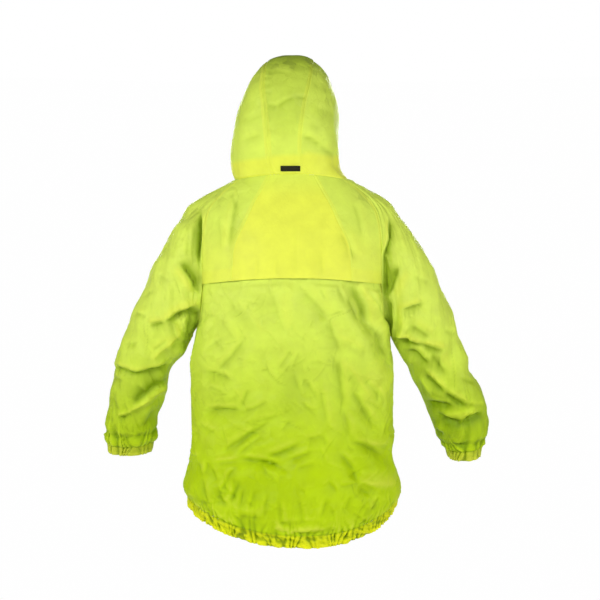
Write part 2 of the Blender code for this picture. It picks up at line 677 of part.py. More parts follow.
def wall(name, grid, normals, colour, thickness=CLOTH, closed=False, roughness=0.45):
    """A closed cloth wall, half its thickness to each side of the grid, sewn up along its edges."""
    middle = drawn_back(grid, normals, closed)
    if closed:
        middle, normals = middle[:, :-1], normals[:, :-1]
    rows, columns = middle.shape[:2]
    vertices = np.concatenate([(middle + normals * thickness / 2).reshape(-1, 3),
                               (middle - normals * thickness / 2).reshape(-1, 3)])
    numbers = np.arange(rows * columns).reshape(rows, columns)
    if closed:
        numbers = np.concatenate([numbers, numbers[:, :1]], axis=1)
    inside = numbers + rows * columns
    outer = np.stack([numbers[:-1, :-1], numbers[:-1, 1:], numbers[1:, 1:], numbers[1:, :-1]], -1)
    inner = np.stack([inside[:-1, :-1], inside[1:, :-1], inside[1:, 1:], inside[:-1, 1:]], -1)
    rims = [(numbers[0], inside[0]), (numbers[-1], inside[-1])]
    if not closed:
        rims += [(numbers[:, 0], inside[:, 0]), (numbers[:, -1], inside[:, -1])]
    faces = [outer.reshape(-1, 4), inner.reshape(-1, 4)]
    for near, far in rims:
        faces.append(np.stack([near[:-1], near[1:], far[1:], far[:-1]], -1))
    item = add_mesh(name, vertices.tolist(), np.concatenate(faces).tolist())
    paint(item, colour, roughness)
    return item


def zip_line(panels, normals, hood, hood_normals, band, band_normals, side, away):
    """Points and normals that run up beside the zip, 'away' mm from its middle, on the cloth's middle
    surface: from the hem band's free edge to the end of the hood's panels."""
    order = 1 if side > 0 else -1
    front = "front_left" if side > 0 else "front_right"
    last = HOOD_PANEL_LOOPS + 1
    rows = [*zip(band[:2], band_normals[:2]), *zip(panels[front], normals[front]),
            *zip(hood[1:last], hood_normals[1:last])]
    line = []
    for points, out in rows:
        points, out = points[::order], out[::order]
        out = unit(out[:12])
        reach = np.abs(points[:12, 0])
        place = [np.interp(away * MM, reach, points[:12, axis]) for axis in range(3)]
        place[0] = side * away * MM
        line.append((place, [np.interp(away * MM, reach, out[:, axis]) for axis in range(3)]))
    return np.array(line)


def strip(name, left, right, colour, thickness):
    """A thin tape between two lines of points and normals, each given as zip_line gives them."""
    grid = np.stack([left[:, 0], right[:, 0]], axis=1)
    normals = np.stack([left[:, 1], right[:, 1]], axis=1)
    return wall(name, grid, normals, colour, thickness, roughness=0.7)


def box(size, centre):
    """A box mesh of this size round this centre, in millimetres of its own frame."""
    body = bmesh.new()
    bmesh.ops.create_cube(body, size=1.0)
    bmesh.ops.scale(body, vec=[length * MM for length in size], verts=body.verts)
    bmesh.ops.translate(body, vec=[place * MM for place in centre], verts=body.verts)
    mesh = bpy.data.meshes.new("box")
    body.to_mesh(mesh)
    body.free()
    return mesh


def placed(name, mesh, origin, tilt):
    """The mesh as a dark metal object at this origin, leaning with the zip."""
    item = bpy.data.objects.new(name, mesh)
    item.location = origin
    item.rotation_euler = (tilt, 0, 0)
    bpy.data.collections["rain_jacket"].objects.link(item)
    paint(item, METAL_COLOUR, METAL_ROUGHNESS, METAL_METALLIC)
    return item


def cut_with(item, mesh, operation, number):
    """A Boolean with the mesh, held by a hidden guide in the same place as the item."""
    guide = bpy.data.objects.new(f"{item.name}_guide_{number}", mesh)
    guide.location = item.location
    guide.rotation_euler = item.rotation_euler
    guide.hide_render = True
    guide.display_type = "WIRE"
    bpy.data.collections["cutters"].objects.link(guide)
    modifier = item.modifiers.new(f"shape_{number}", "BOOLEAN")
    modifier.operation = operation
    modifier.object = guide


def lengths_along(points):
    """The length from the first point to each point of a polyline."""
    return np.concatenate([[0], np.cumsum(np.linalg.norm(np.diff(points, axis=0), axis=1))])


def on_zip(middle, run):
    """The point 'run' metres up the zip's middle, and the tilt about X of the zip there."""
    lengths = lengths_along(middle[:, 0])
    place = np.array([np.interp(run, lengths, middle[:, 0, axis]) for axis in range(3)])
    number = min(int(np.searchsorted(lengths, run, side="right")) - 1, len(lengths) - 2)
    rise = middle[number + 1, 0] - middle[number, 0]
    return place, math.atan2(-rise[1], rise[2])


def stretch(middle, lower, upper):
    """Row numbers of the zip's lines from 'lower' to 'upper' metres up, with the whole rows between."""
    lengths = lengths_along(middle[:, 0])
    inner = np.flatnonzero((lengths > lower + MM) & (lengths < upper - MM))
    ends = np.interp([lower, upper], lengths, np.arange(len(lengths)))
    return np.concatenate([ends[:1], inner, ends[1:]])


def rail(lines, at, out, x=None):
    """The lines at these rows, moved 'out' mm along their normals, and to one distance x from the middle."""
    flat = between(lines.reshape(len(lines), 6), at).reshape(-1, 2, 3)
    flat[:, 0] += flat[:, 1] * out * MM
    if x is not None:
        flat[:, 0, 0] = x * MM
    return flat


def add_zip(lines):
    """Tapes, teeth, slider, pull and bottom box. lines(side, away) gives the places beside the zip."""
    middle = lines(1, ZIP_EDGE)
    middle[:, :, 0] = 0
    slider_top = lengths_along(middle[:, 0])[-1] - SLIDER_BELOW_END * MM
    chain_top = slider_top - SLIDER_POST * MM - SEAM_GAP
    at = stretch(middle, BOX_SIZE[2] * MM + SEAM_GAP, chain_top)
    tape_inside = CHAIN_WIDTH / 2 + TAPE_TO_CHAIN
    for name, side in (("left", 1), ("right", -1)):
        pair = (rail(lines(side, ZIP_EDGE), at, TAPE_OUT, side * tape_inside),
                rail(lines(side, TAPE_EDGE), at, TAPE_OUT))
        strip(f"zip_tape_{name}", *pair[::side], TRIM_COLOUR, TAPE_THICKNESS)

    chain = [rail(middle, at, sum(CHAIN_OUT) / 2, side * CHAIN_WIDTH / 2) for side in (-1, 1)]
    strip("zip_chain", *chain, TRIM_COLOUR, (CHAIN_OUT[1] - CHAIN_OUT[0]) * MM)

    centre, tilt = on_zip(middle, slider_top - SLIDER_LENGTH / 2 * MM)
    back, front = SLIDER_OUT
    block = (SLIDER_WIDTH, front - back, SLIDER_LENGTH)
    slider = placed("zip_slider", box(block, (0, -(back + front) / 2, 0)), centre, tilt)
    inner, outer = SLOT_OUT
    slot = (2 * SLIDER_WIDTH, outer - inner, SLIDER_LENGTH)
    cut_with(slider, box(slot, (0, -(inner + outer) / 2, -SLIDER_POST)), "DIFFERENCE", 1)
    bail_foot = (outer + front) / 2
    bail = (BAIL_WIDTH, BAIL_OUT - bail_foot, BAIL_LENGTH)
    cut_with(slider, box(bail, (0, -(BAIL_OUT + bail_foot) / 2, 0)), "UNION", 2)
    low, high = BAIL_HOLE_OUT
    hole = (2 * BAIL_WIDTH, high - low, BAIL_HOLE_LENGTH)
    cut_with(slider, box(hole, (0, -(low + high) / 2, 0)), "DIFFERENCE", 3)

    out = np.array([0, -math.cos(tilt), -math.sin(tilt)])
    add_pull(centre + out * PULL_OUT * MM)

    centre, tilt = on_zip(middle, BOX_SIZE[2] / 2 * MM)
    placed("zip_box", box(BOX_SIZE, (0, 0, 0)), centre, tilt)


def add_pull(axis):
    """The pull tab, hanging from its axis through the slider's loop: a flat outline with a hole."""
    curve = bpy.data.curves.new("zip_pull", "CURVE")
    curve.dimensions = "2D"
    curve.fill_mode = "BOTH"
    curve.extrude = PULL_THICKNESS / 2 * MM
    head = PULL_THICKNESS / 2
    round_end = [(PULL_TAB_HALF_WIDTH * math.cos(angle),
                  -PULL_LENGTH + PULL_TAB_HALF_WIDTH - PULL_TAB_HALF_WIDTH * math.sin(angle))
                 for angle in np.linspace(0, math.pi, 9)]
    outline = [(PULL_HALF_WIDTH - 0.6, head), (PULL_HALF_WIDTH, head - 0.6), (PULL_HALF_WIDTH, -9.0),
               *round_end, (-PULL_HALF_WIDTH, -9.0), (-PULL_HALF_WIDTH, head - 0.6),
               (-PULL_HALF_WIDTH + 0.6, head)]
    low, high = PULL_HOLE
    width = PULL_HOLE_HALF_WIDTH
    hole = [(-width, low), (width, low), (width, high), (-width, high)]
    for corners in (outline, hole):
        spline = curve.splines.new("POLY")
        spline.points.add(len(corners) - 1)
        for point, (x, y) in zip(spline.points, corners):
            point.co = (x * MM, y * MM, 0, 1)
        spline.use_cyclic_u = True
    pull = bpy.data.objects.new("zip_pull", curve)
    pull.location = axis
    pull.rotation_euler = (math.pi / 2, 0, 0)
    bpy.data.collections["rain_jacket"].objects.link(pull)
    paint(pull, METAL_COLOUR, METAL_ROUGHNESS, METAL_METALLIC)


def add_tab(grid, normals):
    """The webbing tab, made from the points of the hood's centre panel, moved out."""
    out = (CLOTH / MM + TAB_THICKNESS) / 2 + TAB_STANDOFF
    across = TAB_CENTRE_X + np.linspace(0.5, -0.5, 7) * TAB_WIDTH
    upward = TAB_CENTRE_Z + np.linspace(-0.5, 0.5, 3) * TAB_HEIGHT
    places = []
    for height in upward:
        rows = grid[:, :, 2]
        level = [np.interp(height * MM, rows[:3, column], np.arange(3)) for column in range(rows.shape[1])]
        line = []
        for column, row in enumerate(level):
            both = np.concatenate([grid[:3, column], normals[:3, column]], axis=1)
            line.append(between(both, np.array([row]))[0])
        line = np.array(line)[::-1]
        places.append([[np.interp(x * MM, line[:, 0], line[:, axis]) for axis in range(6)]
                       for x in across])
    places = np.array(places)
    middle = places[..., :3] + places[..., 3:] * out * MM
    wall("hood_tab", middle, places[..., 3:], TRIM_COLOUR, TAB_THICKNESS * MM, roughness=0.8)


def build():
    """Clears the scene's objects and makes every piece of the jacket."""
    for item in list(bpy.data.objects):
        bpy.data.objects.remove(item, do_unlink=True)
    for name in ("rain_jacket", "cutters"):
        collection = bpy.data.collections.new(name)
        bpy.context.scene.collection.children.link(collection)

    yoke = yoke_grid()
    fronts = {"left": front_grid(1), "right": front_grid(-1)}
    hood = hood_grid(neck_loop(yoke, fronts))
    side = YOKE_SIDE_COLUMNS
    middle = HOOD_SEAM_COLUMNS
    centre = len(hood[0]) // 2
    face = HOOD_PANEL_LOOPS
    grids = {
        "back_panel": back_grid(),
        "yoke_left": yoke[:, :side + 1],
        "yoke_centre": yoke[:, side:-side],
        "yoke_right": yoke[:, -side - 1:],
        "front_left": fronts["left"],
        "front_right": fronts["right"],
        "sleeve_left": sleeve_grid("left"),
        "sleeve_right": mirrored(sleeve_grid("right"), -1),
        "hood_left": hood[:face + 1, :centre - middle + 1],
        "hood_centre": hood[:face + 1, centre - middle:centre + middle + 1],
        "hood_right": hood[:face + 1, centre + middle:],
        "hood_face_hem": hood[face:],
    }
    normals = dict(zip(grids, grid_normals(list(grids.values()))))
    colours = {"yoke_centre": BRIGHT_COLOUR, "hood_face_hem": BRIGHT_COLOUR}
    for name, grid in grids.items():
        wall(name, grid, normals[name], colours.get(name, CLOTH_COLOUR), closed="sleeve" in name)

    band, band_normals = hem_band(grids, normals)
    wall("hem_band", band, band_normals, BAND_COLOUR)
    for name, sign in (("left", 1), ("right", -1)):
        sleeve = f"sleeve_{name}"
        grid, out = cuff(name, sign, grids[sleeve], normals[sleeve])
        wall(f"cuff_{name}", grid, out, BAND_COLOUR, closed=True)

    collar = collar_grid(hood)
    wall("collar", collar, grid_normals([collar])[0], BRIGHT_COLOUR, COLLAR_THICKNESS)
    add_tab(grids["hood_centre"], normals["hood_centre"])

    hood_normals = grid_normals([hood])[0]

    def lines(sign, away):
        return zip_line(grids, normals, hood, hood_normals, band, band_normals, sign, away)

    add_zip(lines)


build()
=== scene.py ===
import math

import bpy
import numpy as np
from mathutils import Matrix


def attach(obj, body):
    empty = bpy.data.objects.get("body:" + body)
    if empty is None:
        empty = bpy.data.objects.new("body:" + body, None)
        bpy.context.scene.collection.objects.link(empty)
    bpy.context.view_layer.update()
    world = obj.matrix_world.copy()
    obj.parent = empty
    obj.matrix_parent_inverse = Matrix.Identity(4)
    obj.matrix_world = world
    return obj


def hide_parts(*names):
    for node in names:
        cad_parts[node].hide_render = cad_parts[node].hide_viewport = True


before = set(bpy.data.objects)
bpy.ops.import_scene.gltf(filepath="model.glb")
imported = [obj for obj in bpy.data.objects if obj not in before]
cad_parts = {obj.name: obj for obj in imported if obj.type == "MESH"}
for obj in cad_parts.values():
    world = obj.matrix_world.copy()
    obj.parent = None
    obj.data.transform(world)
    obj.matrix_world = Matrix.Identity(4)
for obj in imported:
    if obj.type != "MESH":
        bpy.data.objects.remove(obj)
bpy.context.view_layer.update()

# Lengths are in millimetres, in the frame's axes, where no comment says metres, and MM turns them into
# metres in the meshes. The jacket is seen from behind: the wearer faces -Y, and their left is +X.
MM = 0.001
SQUARENESS = 2.3                # exponent of the superellipse that rounds the trunk and the hood
ZIP_EDGE = 5.0                  # each front edge from the middle of the zip
CLOTH_OUT = 0.6                 # the outer face of every panel outside its solid's middle
CLOTH_WALL = 0.7                # thickness of the thin shell

# Back of the trunk, hem to neck. columns: side_x, side_y, side_z, centre_y, centre_z, arc
BACK_ROWS = (
    (229, 0, -684, 158, -751, 90),
    (239, 0, -662, 166, -720, 90),
    (231, 0, -634, 168, -682, 90),
    (221, 0, -600, 163, -634, 90),
    (220, 0, -558, 157, -577, 90),
    (221, 0, -500, 152, -510, 90),
    (222, 0, -440, 149, -440, 90),
    (221, 0, -385, 149, -380, 90),
    (212, 0, -345, 150, -330, 90),
    (208, 0, -315, 151, -295, 90),
    (199, 42, -285, 152, -268, 77),
    (194, 60, -245, 152, -232, 70),
    (193, 71, -195, 149, -186, 65),
    (192, 75, -145, 141, -136, 62),
    (190, 71, -98, 127, -90, 60),
    (178, 60, -55, 112, -48, 62),
    (146, 54, -18, 98, -14, 62),
    (112, 50, 8, 86, 15, 62),
)
# The same columns for the fronts.
FRONT_ROWS = (
    (229, 0, -684, -150, -656, 90),
    (239, 0, -662, -156, -632, 90),
    (231, 0, -634, -160, -602, 90),
    (221, 0, -600, -160, -566, 90),
    (220, 0, -558, -160, -524, 90),
    (221, 0, -500, -160, -470, 90),
    (222, 0, -440, -159, -416, 90),
    (221, 0, -385, -157, -366, 90),
    (212, 0, -345, -156, -330, 90),
    (208, 0, -315, -155, -298, 90),
    (199, -44, -285, -154, -268, 77),
    (193, -66, -245, -152, -236, 70),
    (187, -78, -195, -147, -203, 64),
    (178, -86, -145, -139, -170, 58),
    (163, -92, -100, -129, -140, 54),
    (135, -90, -62, -119, -114, 50),
    (104, -80, -36, -113, -97, 48),
    (86, -70, -24, -110, -84, 48),
)
ARMPIT_ROW = 9
TAIL_TILT = 0.045               # how much lower the tail hangs for each mm to the wearer's right
TAIL_ROWS = 3                   # the lowest rows, over which that fades
FLAP_ROW = 11.5                 # the free lower edge of the yoke
NECK_ROW = 17
TUCK_ROW = 12.1                 # the top of the back panel, inside the yoke
YOKE_STEPS = 7                  # of the raglan seam along the yoke
YOKE_SIDE_COLUMNS = 5
YOKE_CENTRE_COLUMNS = 10
YOKE_ALL_COLUMNS = 2 * YOKE_SIDE_COLUMNS + YOKE_CENTRE_COLUMNS
# Share of the half section where the centre's seams lie, row by row up to the neck.
YOKE_SEAM = (0.508, 0.513, 0.505, 0.405, 0.335, 0.305, 0.30)
FLAP_LIFT = 2.5                 # how far the yoke's free edge stands off the back
FLAP_LIFT_ROWS = 1.6            # the lift fades over these rows, and over this share at either side
FLAP_LIFT_SIDE = 0.35
TUCK_DEPTH = 2.3                # how far the back panel's top lies inside the yoke
TUCKED_FROM = 0.3               # from this share of it on, no relief is higher than TUCKED_RELIEF
TUCKED_RELIEF = 0.4

# Where the raglan sleeve meets the neck. columns: x, y, z
SHOULDER_NECK = (
    (112, 50, 8),
    (121, 22, 9),
    (120, -10, 5),
    (106, -42, -9),
    (86, -70, -24),
)
# Rings of each sleeve below its seam. columns: outer_x, outer_z, inner_x, inner_z, centre_y, half_depth
SLEEVE_RINGS = {
    "left": (
        (200, -31, 214, -323, -4, 81),
        (245, -73, 218, -331, -3, 84),
        (272, -122, 221, -338, -3, 82),
        (304, -177, 224, -346, -5, 78),
        (327, -235, 231, -357, -9, 74),
        (354, -287, 239, -372, -14, 70),
        (373, -338, 257, -389, -20, 66),
        (388, -387, 271, -411, -28, 64),
        (400, -427, 278, -442, -40, 61),
        (405, -471, 287, -477, -54, 58),
        (414, -513, 302, -511, -70, 54),
        (419, -552, 304, -548, -82, 48),
        (417, -574, 313, -570, -90, 40),
    ),
    "right": (
        (200, -30, 214, -323, -4, 81),
        (244, -79, 217, -332, -3, 84),
        (279, -132, 221, -342, -3, 82),
        (308, -185, 226, -352, -5, 78),
        (332, -240, 235, -366, -9, 74),
        (356, -290, 247, -386, -14, 70),
        (369, -335, 258, -403, -20, 66),
        (388, -381, 270, -433, -28, 64),
        (406, -427, 291, -470, -40, 61),
        (425, -465, 304, -502, -54, 58),
        (438, -515, 319, -538, -70, 54),
        (440, -552, 329, -567, -82, 48),
        (428, -580, 346, -586, -90, 40),
    ),
}
CUFF_ENDS = {
    "left": (414, -597, 319, -595, -96, 33),
    "right": (424, -605, 354, -609, -96, 38),
}
# Degrees round a sleeve of its seam's points, and the ring from which they are even.
TURN_AT_SEAM = (0, 13, 26, 31, 38, 49, 63, 78, 91, 104, 117, 138, 180)
TURN_EVENS_OUT = 5

# Loops of the hood. columns: back_y, back_z, front_y, front_z, half_width, shift_x, lift, seam_x
HOOD_LOOPS = (
    (97, 40, -110, -78, 119, 13, 46, 35),
    (109, 72, -111, -71, 119, 16, 46, 35),
    (118, 106, -112, -65, 118, 16, 42, 37),
    (123, 140, -113, -58, 115.5, 16, 36, 41),
    (122, 174, -113.5, -52, 113.5, 15, 30, 45),
    (114, 207, -114, -45, 112.5, 13, 23, 50),
    (97, 237, -114.5, -39, 111.5, 10, 16, 52),
    (72, 259, -115, -32, 109, 7, 10, 52),
    (40, 273, -115, -26, 107, 4, 5, 51),
    (5, 282, -115.5, -19, 104, 2, 2, 50),
    (-32, 277, -116, -13, 100, 2, 0, 48),
    (-66, 268, -117, -6, 95, 3, 0, 46),
    (-98, 251, -118, 0, 90, 3, 0, 44),
    (-116, 237, -119, 9, 84, 3, 0, 42),
)
LIFT_FORWARD = 0.8              # how much more the sides rise in front than behind
NECK_HOLD = (0.6, 0.25)         # how strongly the first two loops are held above the neck in front
NECK_RISE = (7.0, 15.0)         # and how far above it
HOLD_FROM = 80                  # degrees from the middle back where that begins
HOOD_PANEL_LOOPS = 13
HOOD_SEAM_COLUMNS = 4
# Degrees from the middle back where the yoke and the fronts end, on the first loop and from
# HOOD_EVENS_OUT on.
YOKE_END_TURN = (58, 78)
FRONT_END_TURN = (124, 118)
HOOD_EVENS_OUT = 5
FRONT_COLUMNS = 9
SLEEVE_COLUMNS = 24
HOOD_MIDDLE = FRONT_COLUMNS + len(SHOULDER_NECK) - 1 + YOKE_SIDE_COLUMNS + YOKE_CENTRE_COLUMNS // 2

BAND_HEIGHT = 26.0              # of the hem's elastic
BAND_INWARD = 6.0               # how far inwards its free edge lies
COLLAR_HEIGHTS = (3.0, 60.0)    # of the collar's two edges above the neck
COLLAR_IN = 6.0                 # how far inside the hood it stands
NECK_MIDDLE = (0.0, -10.0)


def power(value):
    """The value raised so that a cosine and a sine draw a superellipse, its sign kept."""
    return np.sign(value) * np.abs(value) ** (2 / SQUARENESS)


def along(rows, at):
    """The rows of an array at fractional row numbers, on a smooth curve through them (Catmull-Rom)."""
    rows = np.asarray(rows, float)
    last = len(rows) - 1
    at = np.clip(np.asarray(at, float), 0, last)
    lower = np.minimum(at.astype(int), last - 1)
    t = (at - lower).reshape(at.shape + (1,) * (rows.ndim - 1))
    before, start, end, after = (rows[np.clip(lower + step, 0, last)] for step in (-1, 0, 1, 2))
    return 0.5 * (2 * start + (end - before) * t + (2 * before - 5 * start + 4 * end - after) * t ** 2
                  + (3 * start - before - 3 * end + after) * t ** 3)


def smooth(value):
    """0 below 0, 1 above 1 and an even slope between."""
    value = np.clip(value, 0, 1)
    return value * value * (3 - 2 * value)


def unit(vectors):
    """The vectors at length 1."""
    return vectors / np.maximum(np.linalg.norm(vectors, axis=-1, keepdims=True), 1e-9)


def points_of(x, y, z):
    """Three arrays as one array of points."""
    return np.stack(np.broadcast_arrays(x, y, z), axis=-1)


def normals_of(grid, closed=False):
    """Unit normals of a fine grid, out of its face: the cross of its two directions."""
    if closed:
        wide = np.concatenate([grid[:, -2:-1], grid, grid[:, 1:2]], axis=1)
        across = np.gradient(wide, axis=1)[:, 1:-1]
    else:
        across = np.gradient(grid, axis=1)
    return unit(np.cross(across, np.gradient(grid, axis=0)))


# ---------------------------------------------------------------- the jacket's form, as its solids have it

def half_section(rows, at, share):
    """The trunk's superellipse at the table's row 'at': x = side sin(t)^(2/n), and y and z rise from the
    seam to the middle with cos(t)^(2/n); 'share' runs from the middle (0) to the left (1) or right seam."""
    side_x, side_y, side_z, centre_y, centre_z, arc = np.moveaxis(along(rows, at), -1, 0)
    side_y = np.where(at <= ARMPIT_ROW, 0, side_y)
    arc = np.radians(np.minimum(arc, 90))
    turn = share * arc
    rise = (power(np.cos(turn)) - power(np.cos(arc))) / (1 - power(np.cos(arc)))
    x = side_x * power(np.sin(turn)) / power(np.sin(arc))
    return points_of(x, side_y + (centre_y - side_y) * rise, side_z + (centre_z - side_z) * rise ** 2)


def back_surface(at, share):
    """The back panel; its tail hangs lower towards the wearer's right by TAIL_TILT times x."""
    at, share = at[:, None], share[None, :]
    grid = half_section(BACK_ROWS, at, share)
    grid[..., 2] += TAIL_TILT * grid[..., 0] * smooth((TAIL_ROWS - at) / TAIL_ROWS) * (1 - share ** 2)
    return grid


def yoke_surface(at, column):
    """The yoke; columns 0 to 5 and 15 to 20 are its sides and 5 to 15 its centre panel."""
    at, column = at[:, None], column[None, :]
    seam = along(YOKE_SEAM, at - NECK_ROW + len(YOKE_SEAM) - 1)
    centre = seam * (YOKE_SIDE_COLUMNS + YOKE_CENTRE_COLUMNS / 2 - column) / (YOKE_CENTRE_COLUMNS / 2)
    left = 1 - (1 - seam) * column / YOKE_SIDE_COLUMNS
    right = (1 - seam) * (YOKE_ALL_COLUMNS - column) / YOKE_SIDE_COLUMNS - 1
    share = np.where(column < YOKE_SIDE_COLUMNS, left,
                     np.where(column > YOKE_SIDE_COLUMNS + YOKE_CENTRE_COLUMNS, right, centre))
    grid = half_section(BACK_ROWS, at, share)
    lift = smooth((FLAP_ROW + FLAP_LIFT_ROWS - at) / FLAP_LIFT_ROWS)
    lift = lift * smooth((1 - np.abs(share)) / FLAP_LIFT_SIDE)
    return grid + normals_of(grid) * (lift * FLAP_LIFT)[..., None]


def front_surface(at, step):
    """The left front, from its edge beside the zip (step 0) to its side and raglan seams (1)."""
    at, step = at[:, None], step[None, :]
    rows = along(FRONT_ROWS, at)
    side_x, arc = rows[..., 0], np.radians(np.minimum(rows[..., 5], 90))
    edge = np.arcsin((ZIP_EDGE / side_x) ** (SQUARENESS / 2) * np.sin(arc)) / arc
    return half_section(FRONT_ROWS, at, edge + (1 - edge) * step)


def seam_rows():
    """Row numbers of the raglan seams' points, from under the arm to the neck."""
    below = (ARMPIT_ROW, ARMPIT_ROW + 1, ARMPIT_ROW + 2)
    return np.concatenate([below, np.linspace(FLAP_ROW, NECK_ROW, YOKE_STEPS + 1)])


def sleeve_loop(column):
    """The left raglan seam and the neck at these columns: 0 to 10 up the back, to 14 over the shoulder
    and to 24 down the front."""
    rows = seam_rows()
    last = len(rows) - 1
    back = half_section(BACK_ROWS, along(rows, np.minimum(column, last)), 1.0)
    front = half_section(FRONT_ROWS, along(rows, np.clip(SLEEVE_COLUMNS - column, 0, last)), 1.0)
    neck = along(SHOULDER_NECK, np.clip(column - last, 0, len(SHOULDER_NECK) - 1))
    place = column[:, None]
    return np.where(place <= last, back, np.where(place >= SLEEVE_COLUMNS - last, front, neck))


def sleeve_turns(ring, column):
    """Degrees round the ring of these columns, from under the arm over the back to under the arm."""
    even = np.linspace(0, 180, len(TURN_AT_SEAM))
    half = TURN_AT_SEAM + (even - TURN_AT_SEAM) * smooth((ring - 1) / (TURN_EVENS_OUT - 1))
    return along(np.concatenate([half[::-1], -half[1:]]), column)


def sleeve_ring(table, at, turn):
    """A ring of the sleeve: an ellipse between its outer and inner ends, square to the sleeve's run."""
    columns = along(table, at)
    step = along(table, at + 0.05) - along(table, at - 0.05)
    outer = np.array([columns[0], columns[4], columns[1]])
    inner = np.array([columns[2], columns[4], columns[3]])
    run = np.array([step[0] + step[2], 2 * step[4], step[1] + step[3]])
    across = (outer - inner) / 2
    depth = np.cross(run, across)
    depth *= np.sign(depth[1]) * columns[5] / np.linalg.norm(depth)
    turn = np.radians(turn)[:, None]
    return (outer + inner) / 2 + across * np.cos(turn) + depth * np.sin(turn)


def sleeve_surface(name):
    """A function of rows and columns that gives one sleeve, as if it were the left one."""
    table = SLEEVE_RINGS[name]

    def surface(at, column):
        """Points on smooth curves through the seam's loop and the rings below it."""
        stack = [sleeve_loop(column)]
        for ring in range(len(table)):
            stack.append(sleeve_ring(table, float(ring), sleeve_turns(ring + 1, column)))
        return along(np.array(stack), at)
    return surface


def cuff_surface(name):
    """A function that gives one cuff, its rows from the sleeve (0) down to its free edge (1)."""
    table = SLEEVE_RINGS[name][-2:] + (CUFF_ENDS[name],)

    def surface(at, column):
        """Points straight down from the sleeve's last ring to the cuff's end."""
        turns = sleeve_turns(len(SLEEVE_RINGS[name]), column)
        low, high = sleeve_ring(table, 2.0, turns), sleeve_ring(table, 1.0, turns)
        return high + (low - high) * at[:, None, None]
    return surface


def hood_loop(row, turn):
    """A loop of the hood: a superellipse whose sides rise above its plane, 'turn' degrees from the back."""
    back_y, back_z, front_y, front_z, half_width, shift_x, lift = row[:7]
    turn = np.radians(turn)
    ahead = power(np.cos(turn))
    lean = shift_x * (1 - ((1 - np.cos(turn)) / 2) ** 4)
    x = lean + half_width * power(np.sin(turn))
    y = (back_y + front_y) / 2 + (back_y - front_y) / 2 * ahead
    rise = lift * np.sin(turn) ** 2 * (1 - LIFT_FORWARD * np.cos(turn))
    z = (back_z + front_z) / 2 + (back_z - front_z) / 2 * ahead + rise
    return points_of(x, y, z)


def hood_turns(number, row):
    """Degrees from the middle back of the hood's columns, from the zip round the wearer's left."""
    half_width, seam_x = row[4], row[7]
    even = smooth((number - 1) / (HOOD_EVENS_OUT - 1))
    seam = math.degrees(math.asin((seam_x / half_width) ** (SQUARENESS / 2)))
    yoke_end = YOKE_END_TURN[0] + (YOKE_END_TURN[1] - YOKE_END_TURN[0]) * even
    front_end = FRONT_END_TURN[0] + (FRONT_END_TURN[1] - FRONT_END_TURN[0]) * even
    edge = 180 - math.degrees(math.asin((ZIP_EDGE / half_width) ** (SQUARENESS / 2)))
    yoke_columns = YOKE_SIDE_COLUMNS + YOKE_CENTRE_COLUMNS // 2 - HOOD_SEAM_COLUMNS
    half = np.concatenate([
        np.linspace(0, seam, HOOD_SEAM_COLUMNS + 1),
        np.linspace(seam, yoke_end, yoke_columns + 1)[1:],
        np.linspace(yoke_end, front_end, len(SHOULDER_NECK))[1:],
        np.linspace(front_end, edge, FRONT_COLUMNS + 1)[1:],
    ])
    return np.concatenate([half[::-1], -half[1:]])


def neck_loop():
    """The neck, once round from the zip over the wearer's left."""
    top = np.array([float(NECK_ROW)])
    left = front_surface(top, np.linspace(0, 1, FRONT_COLUMNS + 1))[0]
    neck = np.array(SHOULDER_NECK, float)
    yoke = half_section(BACK_ROWS, top[0], yoke_top_shares())
    right = left[::-1] * (-1, 1, 1)
    return np.concatenate([left, neck[-2:0:-1], yoke, neck[1:-1] * (-1, 1, 1), right])


def yoke_top_shares():
    """Shares of the neck row at the yoke's whole columns: sides, centre and sides again."""
    seam = YOKE_SEAM[-1]
    side = np.linspace(1, seam, YOKE_SIDE_COLUMNS + 1)
    centre = np.linspace(seam, -seam, YOKE_CENTRE_COLUMNS + 1)[1:-1]
    return np.concatenate([side, centre, -side[::-1]])


def hood_stack():
    """The hood's loops from the neck to the face hem's free edge, at its whole columns."""
    neck = neck_loop()
    stack = [neck]
    for number, row in enumerate(HOOD_LOOPS, start=1):
        stack.append(hood_loop(row, hood_turns(number, row)))
    stack = np.array(stack)
    for number, (hold, rise) in enumerate(zip(NECK_HOLD, NECK_RISE), start=1):
        turns = np.abs(hood_turns(number, HOOD_LOOPS[number - 1]))
        raised = neck.copy()
        raised[:, 2] = np.maximum(stack[number, :, 2], neck[:, 2] + rise)
        hold = hold * smooth((turns - HOLD_FROM) / (FRONT_END_TURN[0] - HOLD_FROM))
        stack[number] += (raised - stack[number]) * hold[:, None]
    stack[1:, 0, 0] = ZIP_EDGE
    stack[1:, -1, 0] = -ZIP_EDGE
    return stack


def hood_surface(at, column):
    """The hood: Catmull-Rom curves through its loops' points, both ways."""
    return np.swapaxes(along(np.swapaxes(along(hood_stack(), at), 0, 1), column), 0, 1)


# ---------------------------------------------------------------- how the cloth lies on that form

EVERY_EDGE = ("low", "high", "left", "right")
# How far apart each kind of piece has its grid lines: up, across.
SPACING = {"front": (3.6, 2.7), "back": (3.4, 2.7), "yoke": (3.0, 2.8), "sleeve": (3.3, 3.1),
           "cuff": (2.0, 1.9), "hood": (3.2, 3.0), "face_hem": (2.2, 2.4), "collar": (3.0, 3.0),
           "zip": (3.0, 3.0)}
DRAFT_LINES = 90                # lines each way of the rough grid that is measured first
SEAM_LINES = (0.8, 1.7, 2.8, 4.2, 5.4, 6.3, 7.2, 8.4)      # closer grid lines beside a seam
STITCH_IN = 6.3                 # the topstitching from its seam
ALLOWANCE = 7.5                 # width of the seam allowance, which shows through
HEM_FOLD = 8.0                  # width of a turned hem

